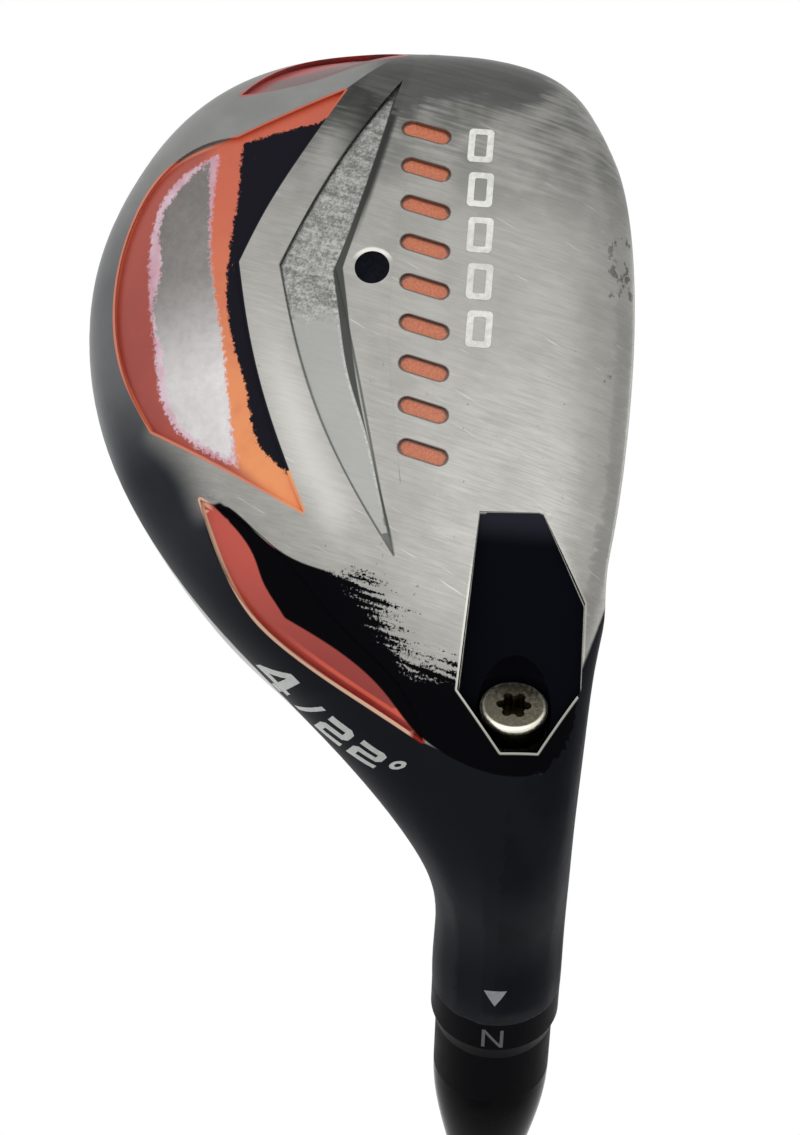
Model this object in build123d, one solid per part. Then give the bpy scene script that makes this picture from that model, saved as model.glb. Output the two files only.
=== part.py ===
"""Adjustable hybrid golf club, right-handed, standing at address.

Frame: the shaft axis meets the ground plane at the origin. +X points along the head to its
toe, +Y points at the target and +Z points up. Lengths are in millimetres, angles in degrees.
Heights along the shaft axis are measured from the origin, up the shaft.
"""
from build123d import *
import math
import os

# ---------------------------------------------------------------- club
LIE = 59.5               # shaft axis above the ground
LOFT = 22.0              # face tilt from vertical
CLUB_LENGTH = 1010.0     # ground to the end of the grip cap, along the shaft axis

# ---------------------------------------------------------------- clearances
SLIDING_GAP = 0.05       # sleeve in hosel, bolt thread in sleeve
BOND_GAP = 0.02          # glued and seated pieces
FREE_GAP = 0.35          # curved faces that pass each other

# ---------------------------------------------------------------- shaft
SHAFT_TIP_RADIUS = 4.7
SHAFT_TIP_WALL = 1.8
SHAFT_PARALLEL = 80.0    # length of the untapered tip
SHAFT_BUTT_RADIUS = 7.6
SHAFT_BUTT_WALL = 1.2
TIP_WEIGHT_LENGTH = 16.0
TIP_WEIGHT_FLANGE = 1.0
TIP_WEIGHT_CHAMFER = 1.0

# ---------------------------------------------------------------- grip
GRIP_LENGTH = 268.0      # with its cap
GRIP_MOUTH_WALL = 1.5
GRIP_LIP = 3.0           # straight part of the mouth
GRIP_SWELLS = [(0.35, 0.9), (0.7, 2.5)]    # share of the length, added radius
GRIP_BUTT_WALL = 5.1
GRIP_CAP_LIP = 0.7       # the cap stands out from the grip
GRIP_CAP_THICK = 4.0
GRIP_CAP_ROUND = 1.6
TAPE_THICK = 0.2
TAPE_SETBACK = 2.0       # the tape starts inside the mouth
VENT_RADIUS = 1.6

# ---------------------------------------------------------------- shaft adapter
SLEEVE_WALL = 0.9
SLEEVE_FOOT_THICK = 10.0
SLEEVE_FOOT_GAP = 0.4    # sleeve's foot above the floor of its bore
COLLAR_HEIGHT = 4.6
COLLAR_CHAMFER = 2.4
SPLINE_COUNT = 8
SPLINE_WIDTH = 1.6
SPLINE_HEIGHT = 5.0
SPLINE_REACH = 0.8
NECK_WALL = 1.3
RING_WALL = 1.1          # setting ring
RING_HEIGHT = 8.6
FERRULE_HEIGHT = 15.0
FERRULE_TIP_WALL = 0.4
FERRULE_BEND = (0.5, 6.8)    # drop in radius, height above the ring

# ---------------------------------------------------------------- bolt and its seat
BOLT_RADIUS = 2.5
BOLT_HEAD_RADIUS = 3.85
BOLT_HEAD_HEIGHT = 3.2
BOLT_HEAD_ROUND = 0.5
BOLT_FACE = 8.5          # bolt head's end face, along the axis
BOLT_END_GAP = 1.0       # thread's end below the shaft tip
SOCKET_RADIUS = 1.44     # core of the six-lobed socket
SOCKET_LOBE_RADIUS = 0.56
SOCKET_LOBES = 6
SOCKET_DEPTH = 2.2
WASHER_THICK = 0.8
SEAT_THICK = 2.2
RETAINER_HEIGHT = 1.8
RETAINER_WALL = 1.65

# ---------------------------------------------------------------- bolt recess in the sole
RECESS_CORNERS = [(16, -5.4), (16.4, 1.7), (6.8, 7.1), (-2.4, 7.4), (-9.8, 3), (-10.1, -1.1), (-3.9, -6.4)]
RECESS_FLOOR = 1.8       # metal left above the recess
RAMP_START_X = 16.8      # toe end of its sloping floor
RAMP_START_Z = 0.7
RAMP_SLOPE = 19.8

# ---------------------------------------------------------------- head form
HEAD_WALL = 1.4          # cast skirt, sole and crown
HOSEL_WALL = 2.15
HOSEL_TOP = 55.8         # end of the hosel, along the axis
HOSEL_BLEND = 6.0        # the hosel is round from here, above the pivot
PIVOT_X = 4.0            # the heel's sections turn about this line
PIVOT_Z = 52.0
TOE_ROUND_X = 58.5       # sections beyond this shrink along X too when inset
SECTION_STEPS = 6        # spans in each quarter of a section
FINE_STEPS = 60          # steps that the spans are measured out on
SMALLEST_SECTION = 1.0   # half height below which an inset section is left out

# Sections square to X: x, front (y, z), back (y, z), top (y, z), bottom (y, z), corner powers
BODY_SECTIONS = [
    (75.3, (-13, 16.6), (-19, 17), (-16, 18.4), (-16, 15.0), (2, 2, 2, 2)),
    (75.0, (-9.5, 16), (-23, 17), (-15, 21), (-15, 12.4), (2, 2, 2, 2)),
    (73.8, (-4, 14), (-31, 17), (-13, 25.5), (-12, 8), (2.4, 2.2, 2, 2)),
    (71.3, (0.8, 12), (-37.8, 17), (-11, 29), (-10, 5.2), (2.8, 2.3, 2, 2)),
    (66.5, (4.5, 10), (-44.0, 17), (-9, 32.5), (-9, 3.2), (3.1, 2.4, 2.1, 2.2)),
    (58.5, (8.2, 8.5), (-49.3, 17), (-8, 35), (-8, 1.6), (3.3, 2.5, 2.2, 2.4)),
    (48, (10.9, 8), (-52.9, 17), (-8, 36.5), (-8, 0.4), (3.4, 2.5, 2.2, 2.5)),
    (37, (11.9, 8), (-53.2, 17.5), (-8, 36.5), (-8, 0), (3.4, 2.5, 2.2, 2.5)),
    (26, (11.9, 8), (-50.3, 18.5), (-7, 35.5), (-7, 0.2), (3.4, 2.5, 2.2, 2.5)),
    (14, (11.3, 8), (-43, 20), (-5, 34.5), (-6, 0.9), (3.4, 2.5, 2.2, 2.5)),
]
# Sections turned towards the hosel: tilt, then the same with distances along the tilted plane
HEEL_SECTIONS = [
    (0, (9.2, 8.5), (-34, 22), (-3, 33.5), (-4, 2), (3.2, 2.4, 2.2, 2.4)),
    (15, (8.3, 12), (-24.6, 23), (-1, 32.0), (-2, 3.8), (2.8, 2.3, 2.1, 2.3)),
    (30, (7.9, 16), (-15.5, 23), (0, 30.6), (-1, 7.2), (2.4, 2.2, 2, 2.1)),
    (45, (7.8, 20), (-9.6, 22.5), (0, 30), (0, 11.4), (2.1, 2, 2, 2)),
]

# ---------------------------------------------------------------- face
FACE_THICK = 2.2
LEADING_EDGE_Y = 10.9    # face surface at LEADING_EDGE_Z, mid face
LEADING_EDGE_Z = 3.0
FACE_MID_X = 33.0
FACE_BULGE_RADIUS = 200.0
FACE_HEEL_X = 13.0       # the flat of the face ends here
FACE_HEEL_RADIUS = 16.0  # and sweeps forward into the hosel
FACE_HEEL_SWEEP = 100.0
FACE_EDGE_ROUND = 0.8
# Face panel and grooves are drawn in the plane of the face: x, and distance up the slope
WINDOW_CORNERS = [(16, 4), (60.5, 4), (64.5, 10), (63, 24), (56, 29), (22, 26), (16, 20)]
WINDOW_CORNER_RADIUS = 3.5
GROOVE_COUNT = 8
GROOVE_PITCH = 3.1
GROOVE_WIDTH = 0.8
GROOVE_DEPTH = 0.4
GROOVE_LENGTH = 42.0
GROOVE_MID_X = 37.0
GROOVE_FIRST = 4.5       # first groove above the leading edge, up the face

# ---------------------------------------------------------------- crown
CROWN_INSET = 4.0        # crown seam, inside the head's outline
CROWN_BASE_Z = 18.0
CROWN_TOE = (71, -17)
CROWN_FRONT = [(62, -7.5), (50, -5.0), (35, -3.6), (20, -3.8)]
CROWN_HEEL = (11, -10)
CROWN_HEEL_BACK_X = 12.0

# ---------------------------------------------------------------- sole relief
RELIEF_DEPTH = 0.55      # painted panels, valley and slots
BAR_COUNT = 9
BAR_PITCH = 4.9
BAR_WIDTH = 1.9
BAR_LENGTH = 5.8
BAR_SLANT = 14.0
BAR_FIRST = (61.5, -15.0)
BAR_RUN = 4.0            # the row of bars closes on the leading edge at this angle
PORT_PLACE = (43.9, -19.8)
PORT_RADIUS = 2.0

# ---------------------------------------------------------------- inside the head
WEIGHT_TOP = 11.0        # weight pad, bonded on the sole
GEL_RADII = (13.0, 9.0)
GEL_SHIFT = 2.0          # middle of the pool in front of the port
GEL_TOP = 4.2

# ---------------------------------------------------------------- reach of the cutting tools
CUT_LOW = -10.0          # below the sole
CUT_TOP = 45.0           # above the crown
SOLE_CUT_TOP = 15.0      # cuts into the sole end inside the cavity
CUT_REACH = 100.0        # past the head, sideways

SIN_LIE = math.sin(math.radians(LIE))
COS_LIE = math.cos(math.radians(LIE))
UP_SHAFT = Vector(-COS_LIE, 0, SIN_LIE)
SHAFT_AXIS = Axis((0, 0, 0), UP_SHAFT)
RADIAL_PLANE = Plane(origin=(0, 0, 0), x_dir=(0, 1, 0), z_dir=(SIN_LIE, 0, COS_LIE))
CROSS_PLANE = Plane(origin=(0, 0, 0), x_dir=(0, 1, 0), z_dir=UP_SHAFT)

# Heights along the shaft axis
WASHER_LOW = BOLT_FACE + BOLT_HEAD_HEIGHT + SLIDING_GAP
SEAT = WASHER_LOW + WASHER_THICK + SLIDING_GAP
BORE_FLOOR = SEAT + SEAT_THICK + RETAINER_HEIGHT
SLEEVE_FOOT = BORE_FLOOR + SLEEVE_FOOT_GAP
SHAFT_TIP = SLEEVE_FOOT + SLEEVE_FOOT_THICK
BOLT_END = SHAFT_TIP - BOLT_END_GAP
COLLAR_TOP = HOSEL_TOP + COLLAR_HEIGHT + COLLAR_CHAMFER
RING_TOP = COLLAR_TOP + RING_HEIGHT
FERRULE_TOP = RING_TOP + FERRULE_HEIGHT
SHAFT_BUTT = CLUB_LENGTH - GRIP_CAP_THICK
GRIP_MOUTH = CLUB_LENGTH - GRIP_LENGTH
PARALLEL_END = SHAFT_TIP + SHAFT_PARALLEL
PIVOT_HEIGHT = -PIVOT_X * COS_LIE + PIVOT_Z * SIN_LIE    # of the heel's pivot line

# Radii about the shaft axis
SHAFT_TIP_BORE = SHAFT_TIP_RADIUS - SHAFT_TIP_WALL
SHAFT_BUTT_BORE = SHAFT_BUTT_RADIUS - SHAFT_BUTT_WALL
SLEEVE_RADIUS = SHAFT_TIP_RADIUS + SLEEVE_WALL
HOSEL_RADIUS = SLEEVE_RADIUS + HOSEL_WALL
NECK_RADIUS = SHAFT_TIP_RADIUS + NECK_WALL
RING_RADIUS = NECK_RADIUS + RING_WALL
FERRULE_TIP_RADIUS = SHAFT_TIP_RADIUS + FERRULE_TIP_WALL
RETAINER_RADIUS = BOLT_RADIUS + SLIDING_GAP + RETAINER_WALL


# ================================================================ small helpers
def turned(*profile):
    """Solid turned about the shaft axis from (radius, height along the axis) corners."""
    outline = RADIAL_PLANE * make_face(Polyline(*profile, close=True))
    return revolve(outline, SHAFT_AXIS, 360)


def tube(inner, outer, low, high):
    return turned((inner, low), (outer, low), (outer, high), (inner, high))


def rod(radius, low, high):
    return extrude(CROSS_PLANE.offset(low) * Circle(radius), high - low)


def outline_face(*runs):
    """Face bounded by runs of points: two points make a line, more make a smooth curve."""
    edges = [Line(*run) if len(run) == 2 else Spline(*run) for run in runs]
    return make_face(edges)


def upright(face, low, high):
    return extrude(Pos(0, 0, low) * face, high - low)


# ================================================================ head form
def quadrant(start, end, power, upright_first):
    """Points, evenly spaced, from one extreme of a section to the next."""
    centre = (end[0], start[1]) if upright_first else (start[0], end[1])
    fine = []
    for step in range(FINE_STEPS + 1):
        turn = step / FINE_STEPS * math.pi / 2
        a = abs(math.cos(turn)) ** (2 / power) if step < FINE_STEPS else 0
        b = math.sin(turn) ** (2 / power)
        y = centre[0] + (start[0] - centre[0]) * a + (end[0] - centre[0]) * b
        n = centre[1] + (start[1] - centre[1]) * a + (end[1] - centre[1]) * b
        fine.append((y, n))
    return evenly(fine) + [end]


def evenly(points):
    """Cuts a polyline into SECTION_STEPS equal lengths and gives the start of each."""
    walked = [0.0]
    for before, after in zip(points, points[1:]):
        walked.append(walked[-1] + math.dist(before, after))
    result = []
    for index in range(SECTION_STEPS):
        target = walked[-1] * index / SECTION_STEPS
        leg = max(i for i in range(len(walked) - 1) if walked[i] <= target + 1e-9)
        share = (target - walked[leg]) / (walked[leg + 1] - walked[leg])
        start, end = points[leg], points[leg + 1]
        result.append((start[0] + (end[0] - start[0]) * share, start[1] + (end[1] - start[1]) * share))
    return result


def section(origin, tilt, front, back, top, bottom, powers, inset):
    """One closed cross-section of the head, in a plane tilted about +Y, shrunk by inset."""
    front = (front[0] - inset, front[1])
    back = (back[0] + inset, back[1])
    top = (top[0], top[1] - inset)
    bottom = (bottom[0], bottom[1] + inset)
    sole_front, sole_back, crown_back, crown_front = powers
    quarters = [
        (quadrant(front, top, crown_front, True), (0, 1), (-1, 0)),
        (quadrant(top, back, crown_back, False), (-1, 0), (0, -1)),
        (quadrant(back, bottom, sole_back, True), (0, -1), (1, 0)),
        (quadrant(bottom, front, sole_front, False), (1, 0), (0, 1)),
    ]
    sine, cosine = math.sin(math.radians(tilt)), math.cos(math.radians(tilt))

    def place(y, n):
        return Vector(n * sine, y, n * cosine)

    start = Vector(origin[0], 0, origin[1])
    knots = [step / SECTION_STEPS for step in range(SECTION_STEPS + 1)]
    edges = [Edge.make_spline([start + place(*point) for point in points],
                              tangents=[place(*leaving), place(*arriving)], parameters=knots)
             for points, leaving, arriving in quarters]
    return Wire(edges)


TOE_X = BODY_SECTIONS[0][0]


def body_section(data, inset):
    x, *rest = data
    pull = inset * max(0.0, (x - TOE_ROUND_X) / (TOE_X - TOE_ROUND_X))
    return section((x - pull, 0), 0, *rest, inset)


def heel_section(data, inset):
    tilt, *rest = data
    sine, cosine = math.sin(math.radians(tilt)), math.cos(math.radians(tilt))
    origin = (PIVOT_X - PIVOT_Z * sine, PIVOT_Z - PIVOT_Z * cosine)
    return section(origin, tilt, *rest, inset)


def hosel_section(height, inset):
    """Round section of the hosel, square to the shaft axis."""
    origin = UP_SHAFT * height
    circle = [(HOSEL_RADIUS, 0), (-HOSEL_RADIUS, 0), (0, HOSEL_RADIUS), (0, -HOSEL_RADIUS)]
    return section((origin.X, origin.Z), LIE, *circle, (2, 2, 2, 2), inset)


def head_form(inset):
    """Whole head with its hosel as one solid, with its skin moved inwards by inset."""
    wires = [body_section(data, inset) for data in BODY_SECTIONS
             if data[3][1] - data[4][1] > 2 * (inset + SMALLEST_SECTION)]
    wires += [heel_section(data, inset) for data in HEEL_SECTIONS]
    hosel_heights = (PIVOT_HEIGHT, PIVOT_HEIGHT + HOSEL_BLEND, HOSEL_TOP)
    wires += [hosel_section(height, inset) for height in hosel_heights]
    return Solid.make_loft(wires)


# ================================================================ face
SLOPE_UP = Vector(0, -math.sin(math.radians(LOFT)), math.cos(math.radians(LOFT)))
FACE_OUT = Vector(0, math.cos(math.radians(LOFT)), math.sin(math.radians(LOFT)))
LEADING_EDGE = Vector(0, LEADING_EDGE_Y, LEADING_EDGE_Z)


def bulge_drop(x):
    """How far the bulged face falls back from its middle at x."""
    reach = x - FACE_MID_X
    return FACE_BULGE_RADIUS - math.sqrt(FACE_BULGE_RADIUS ** 2 - reach ** 2)


def in_front_of_face(depth=0.0):
    """Everything in front of a surface that lies depth behind the face."""
    toe_x = CUT_REACH
    middle_x = (toe_x + FACE_HEEL_X) / 2
    toe = (toe_x, -bulge_drop(toe_x))
    heel = (FACE_HEEL_X, -bulge_drop(FACE_HEEL_X))
    bulge = ThreePointArc(toe, (middle_x, -bulge_drop(middle_x)), heel)
    sweep = JernArc(heel, bulge % 1, FACE_HEEL_RADIUS, -FACE_HEEL_SWEEP)
    end = sweep @ 1
    rim = Polyline(end, (end.X, CUT_REACH), (toe_x, CUT_REACH), toe)
    plane = Plane(LEADING_EDGE - FACE_OUT * depth, x_dir=(1, 0, 0), z_dir=SLOPE_UP)
    return extrude(plane * make_face([bulge, sweep, *rim.edges()]), CUT_REACH, both=True)


def through_face(sketch):
    """Prism through the face from a sketch in x and distance up the slope."""
    view = Plane(LEADING_EDGE, x_dir=(1, 0, 0), z_dir=FACE_OUT * -1)
    return extrude(view * sketch, bulge_drop(TOE_X) + 2 * FACE_THICK, both=True)


def window_prism():
    """Prism through the opening that the face panel fills."""
    face = make_face(Polyline(*WINDOW_CORNERS, close=True))
    return through_face(fillet(face.vertices(), WINDOW_CORNER_RADIUS))


def face_grooves():
    """Slabs of the score lines, cut to an even depth behind the bulged face."""
    slabs = []
    for index in range(GROOVE_COUNT):
        place = Pos(GROOVE_MID_X, GROOVE_FIRST + index * GROOVE_PITCH)
        slabs.append(through_face(place * SlotOverall(GROOVE_LENGTH, GROOVE_WIDTH)))
    return Compound(slabs) & in_front_of_face(GROOVE_DEPTH)


# ================================================================ sole relief
def back_panel():
    """Large painted crescent behind the sole, from the toe to the middle."""
    return outline_face(
        [(67, -25), (60.5, -37)],
        [(60.5, -37), (56.5, -45.5), (50, -48.6), (43, -49.7), (32, -48), (24.5, -43.7)],
        [(24.5, -43.7), (14.9, -25.2)],
        [(14.9, -25.2), (28, -31), (37, -33.8), (44.1, -35.4)],
        [(44.1, -35.4), (51, -32.8), (58.6, -29.2), (67, -25)])


def valley():
    """Chevron-shaped valley between the bank and the sole pad."""
    return outline_face(
        [(68.7, -18.4), (58.5, -24.2), (43.8, -30.4)],
        [(43.8, -30.4), (33, -27.2), (23, -22.8), (10.4, -14.6)],
        [(10.4, -14.6), (18, -16.8), (28, -19.5), (43.5, -23.9)],
        [(43.5, -23.9), (52.3, -21.8), (68.7, -18.4)])


def heel_panel():
    """Painted panel that runs along the back of the heel."""
    return outline_face(
        [(16.6, -37.3), (5, -30.9), (0.6, -25.9), (-9.4, -9.8)],
        [(-9.4, -9.8), (-5.2, -11.6), (2.7, -20.0), (8, -25), (16.6, -37.3)])


def toe_panel():
    """Slim painted panel round the back of the toe."""
    return outline_face(
        [(67, -37.4), (71, -33.2), (73.8, -25), (73.4, -18.6)],
        [(73.4, -18.6), (71.6, -23.2), (69.2, -28), (67, -37.4)])


def sole_plane(form, x, y):
    """Plane that touches the sole under x, y and faces into the head."""
    point, outward = form.find_intersection_points(Axis((x, y, CUT_LOW), (0, 0, 1)))[0]
    return Plane(origin=point, x_dir=(1, 0, 0), z_dir=outward * math.copysign(1, outward.Z))


def sole_bars(form):
    """Row of slanted slots along the sole pad, each with a flat floor."""
    bars = []
    for index in range(BAR_COUNT):
        x = BAR_FIRST[0] - index * BAR_PITCH
        y = BAR_FIRST[1] + index * BAR_PITCH * math.sin(math.radians(BAR_RUN))
        slot = Rot(0, 0, 90 + BAR_SLANT) * SlotOverall(BAR_LENGTH, BAR_WIDTH)
        below = sole_plane(form, x, y).offset(-BAR_WIDTH)
        bars.append(extrude(below * slot, BAR_WIDTH + RELIEF_DEPTH))
    return bars


def relief_cuts(form):
    """What the sole's decoration takes off the head: panels down to an inset skin, and bars."""
    skin = head_form(RELIEF_DEPTH)
    panels = [back_panel(), valley(), heel_panel(), toe_panel()]
    return [upright(face, CUT_LOW, SOLE_CUT_TOP) - skin for face in panels] + sole_bars(form)


def ramp(face, raise_by=0.0):
    """Prism of the bolt recess up to its sloping floor."""
    slope = Plane(origin=(RAMP_START_X, 0, RAMP_START_Z + raise_by), x_dir=(0, 1, 0),
                  z_dir=(math.sin(math.radians(RAMP_SLOPE)), 0, math.cos(math.radians(RAMP_SLOPE))))
    above = extrude(slope * Rectangle(2 * CUT_REACH, 2 * CUT_REACH), CUT_REACH)
    return upright(face, CUT_LOW, CUT_TOP) - above


def bolt_recess(grow=0.0):
    face = make_face(Polyline(*RECESS_CORNERS, close=True))
    return offset(face, grow, kind=Kind.INTERSECTION) if grow else face


# ================================================================ head pieces
def cavity(gap=0.0):
    """Hollow of the head; gap shrinks it all round, for what is put inside."""
    heel_plane = Plane(origin=(PIVOT_X + gap, 0, 0), x_dir=(0, 1, 0), z_dir=(-1, 0, 0))
    heel_side = extrude(heel_plane * Rectangle(2 * CUT_REACH, 2 * CUT_REACH), CUT_REACH)
    hollow = head_form(HEAD_WALL + gap) - heel_side
    hollow -= in_front_of_face(FACE_THICK + gap)
    return hollow - ramp(bolt_recess(RECESS_FLOOR + gap), RECESS_FLOOR + gap)


def crown_prism():
    """Upright prism inside the crown seam."""
    back = [(x, rear[0] + CROWN_INSET) for x, _, rear, _, _, _ in BODY_SECTIONS[::-1] if x < CROWN_TOE[0]]
    back[0] = (CROWN_HEEL_BACK_X, back[0][1])
    seam = outline_face([CROWN_HEEL, *back, CROWN_TOE], [CROWN_TOE, *CROWN_FRONT, CROWN_HEEL])
    return upright(seam, CROWN_BASE_Z, CUT_TOP)


def spline_ribs(radius, width, low, high):
    """Ribs round the shaft axis that lock the sleeve in the hosel."""
    ribs = []
    for index in range(SPLINE_COUNT):
        rib = Rot(0, 0, 360 / SPLINE_COUNT * index) * Pos(radius / 2, 0) * Rectangle(radius, width)
        ribs.append(extrude(CROSS_PLANE.offset(low) * rib, high - low))
    return Compound(ribs)


def hosel_cuts():
    """Bolt hole, retainer seat, sleeve bore and the grooves for the sleeve's ribs."""
    return [
        rod(BOLT_HEAD_RADIUS + FREE_GAP, CUT_LOW, SEAT),
        rod(BOLT_RADIUS + FREE_GAP, CUT_LOW, BORE_FLOOR),
        rod(RETAINER_RADIUS, BORE_FLOOR - RETAINER_HEIGHT, BORE_FLOOR),
        rod(SLEEVE_RADIUS + SLIDING_GAP, BORE_FLOOR, HOSEL_TOP),
        spline_ribs(SLEEVE_RADIUS + SPLINE_REACH + FREE_GAP, SPLINE_WIDTH + 2 * FREE_GAP,
                    HOSEL_TOP - SPLINE_HEIGHT - FREE_GAP, HOSEL_TOP),
    ]


def head_parts():
    """Head body, crown panel and face panel, which together are one closed shell."""
    form = head_form(0)
    outer = form - in_front_of_face()
    bulge = outer.faces().filter_by(GeomType.CYLINDER).sort_by(SortBy.AREA)[-1]
    outer = outer.fillet(FACE_EDGE_ROUND, bulge.edges().filter_by(GeomType.BSPLINE))
    window = window_prism()
    crown_cut = crown_prism()
    crown = (outer & crown_cut) - head_form(HEAD_WALL)
    face_panel = outer & window & in_front_of_face(FACE_THICK)
    body = outer - crown_cut - (window & in_front_of_face(2 * FACE_THICK)) - cavity()
    port = upright(Pos(*PORT_PLACE) * Circle(PORT_RADIUS), CUT_LOW, SOLE_CUT_TOP)
    for cut in [*relief_cuts(form), ramp(bolt_recess()), *hosel_cuts(), port]:
        body -= cut
    return body, crown, face_panel - face_grooves()


def port_plug():
    """Black plug pressed into the filling port, flush with the sole."""
    plug = upright(Pos(*PORT_PLACE) * Circle(PORT_RADIUS - BOND_GAP), CUT_LOW, SOLE_CUT_TOP)
    return (plug & head_form(BOND_GAP)) - head_form(HEAD_WALL)


def sole_weight():
    """Weight pad bonded low at the back of the cavity."""
    pad = outline_face([(62, -38), (56, -46), (42, -50), (28, -47)], [(28, -47), (26, -36)],
                       [(26, -36), (44, -39), (62, -38)])
    return cavity(BOND_GAP) & upright(pad, CUT_LOW, WEIGHT_TOP)


def damping_gel():
    """Sound-damping glue that was poured in through the port."""
    pool = Pos(PORT_PLACE[0], PORT_PLACE[1] + GEL_SHIFT) * Ellipse(*GEL_RADII)
    return cavity(BOND_GAP) & upright(pool, CUT_LOW, GEL_TOP)


# ================================================================ bolt
def hosel_bolt():
    """Bolt that draws the head onto the sleeve, with a six-lobed socket."""
    head = rod(BOLT_HEAD_RADIUS, BOLT_FACE, BOLT_FACE + BOLT_HEAD_HEIGHT)
    head = fillet(head.edges().sort_by(SHAFT_AXIS)[0], BOLT_HEAD_ROUND)
    bolt = head + rod(BOLT_RADIUS, BOLT_FACE + BOLT_HEAD_HEIGHT, BOLT_END)
    bolt -= rod(SOCKET_RADIUS, BOLT_FACE, BOLT_FACE + SOCKET_DEPTH)
    for index in range(SOCKET_LOBES):
        lobe = Rot(0, 0, 360 / SOCKET_LOBES * index) * Pos(SOCKET_RADIUS, 0) * Circle(SOCKET_LOBE_RADIUS)
        bolt -= extrude(CROSS_PLANE.offset(BOLT_FACE) * lobe, SOCKET_DEPTH)
    return bolt


def bolt_washer():
    return tube(BOLT_RADIUS + SLIDING_GAP, BOLT_HEAD_RADIUS, WASHER_LOW, WASHER_LOW + WASHER_THICK)


def bolt_retainer():
    """Nylon ring that keeps the bolt in the head when it is let out of the sleeve."""
    low = BORE_FLOOR - RETAINER_HEIGHT
    return tube(BOLT_RADIUS + SLIDING_GAP, RETAINER_RADIUS - BOND_GAP, low, BORE_FLOOR)


# ================================================================ adapter
def shaft_sleeve():
    """Aluminium sleeve bonded on the shaft tip: threaded foot, locking ribs and collar."""
    collar_low = HOSEL_TOP + COLLAR_HEIGHT
    sleeve = turned((0, SLEEVE_FOOT), (SLEEVE_RADIUS, SLEEVE_FOOT), (SLEEVE_RADIUS, HOSEL_TOP),
                    (HOSEL_RADIUS, HOSEL_TOP), (HOSEL_RADIUS, collar_low), (RING_RADIUS, COLLAR_TOP),
                    (NECK_RADIUS, COLLAR_TOP), (NECK_RADIUS, RING_TOP), (0, RING_TOP))
    sleeve += spline_ribs(SLEEVE_RADIUS + SPLINE_REACH, SPLINE_WIDTH, HOSEL_TOP - SPLINE_HEIGHT, HOSEL_TOP)
    sleeve -= rod(BOLT_RADIUS + SLIDING_GAP, SLEEVE_FOOT, SHAFT_TIP)
    return sleeve - rod(SHAFT_TIP_RADIUS + BOND_GAP, SHAFT_TIP, RING_TOP)


def setting_ring():
    """Black ring round the sleeve's neck that carries the loft mark."""
    return tube(NECK_RADIUS + BOND_GAP, RING_RADIUS, COLLAR_TOP, RING_TOP)


def ferrule():
    """Tapered trim ring from the setting ring down to the bare shaft."""
    bore = SHAFT_TIP_RADIUS + BOND_GAP
    bend = (RING_RADIUS - FERRULE_BEND[0], RING_TOP + FERRULE_BEND[1])
    outline = [Line((bore, RING_TOP), (RING_RADIUS, RING_TOP)),
               Spline((RING_RADIUS, RING_TOP), bend, (FERRULE_TIP_RADIUS, FERRULE_TOP),
                      tangents=[(0, 1), (-0.2, 1)]),
               Line((FERRULE_TIP_RADIUS, FERRULE_TOP), (bore, FERRULE_TOP)),
               Line((bore, FERRULE_TOP), (bore, RING_TOP))]
    return revolve(RADIAL_PLANE * make_face(outline), SHAFT_AXIS, 360)


# ================================================================ shaft and grip
def shaft_radius(height):
    """Outer radius of the shaft at a height along its axis."""
    share = max(0.0, (height - PARALLEL_END) / (SHAFT_BUTT - PARALLEL_END))
    return SHAFT_TIP_RADIUS + (SHAFT_BUTT_RADIUS - SHAFT_TIP_RADIUS) * share


def shaft():
    """Carbon-fibre tube: parallel at the tip, then tapered to the butt."""
    low = SHAFT_TIP + TIP_WEIGHT_FLANGE
    return turned((SHAFT_TIP_BORE, low), (SHAFT_TIP_RADIUS, low), (SHAFT_TIP_RADIUS, PARALLEL_END),
                  (SHAFT_BUTT_RADIUS, SHAFT_BUTT), (SHAFT_BUTT_BORE, SHAFT_BUTT),
                  (SHAFT_TIP_BORE, PARALLEL_END))


def tip_weight():
    """Brass pin in the shaft tip that sets the swing weight."""
    top = SHAFT_TIP + TIP_WEIGHT_LENGTH
    flange_top = SHAFT_TIP + TIP_WEIGHT_FLANGE
    pin = SHAFT_TIP_BORE - BOND_GAP
    return turned((0, SHAFT_TIP), (SHAFT_TIP_RADIUS, SHAFT_TIP), (SHAFT_TIP_RADIUS, flange_top),
                  (pin, flange_top), (pin, top - TIP_WEIGHT_CHAMFER),
                  (pin - TIP_WEIGHT_CHAMFER, top), (0, top))


def grip_tape():
    """Double-sided tape between the shaft and the grip."""
    low, high = GRIP_MOUTH + TAPE_SETBACK, SHAFT_BUTT
    return turned((shaft_radius(low), low), (shaft_radius(low) + TAPE_THICK, low),
                  (shaft_radius(high) + TAPE_THICK, high), (shaft_radius(high), high))


def grip_bore(height):
    return shaft_radius(height) + TAPE_THICK + BOND_GAP


def grip_butt_radius():
    return grip_bore(SHAFT_BUTT) + GRIP_BUTT_WALL


def grip():
    """Rubber grip, from its flared mouth to its butt."""
    low, high = GRIP_MOUTH, SHAFT_BUTT
    mouth = grip_bore(low) + GRIP_MOUTH_WALL
    swells = [(mouth + growth, low + (high - low) * share) for share, growth in GRIP_SWELLS]
    outline = [Line((grip_bore(low), low), (mouth, low)),
               Line((mouth, low), (mouth, low + GRIP_LIP)),
               Spline((mouth, low + GRIP_LIP), *swells, (grip_butt_radius(), high)),
               Line((grip_butt_radius(), high), (grip_bore(high), high)),
               Line((grip_bore(high), high), (grip_bore(low), low))]
    return revolve(RADIAL_PLANE * make_face(outline), SHAFT_AXIS, 360)


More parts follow.
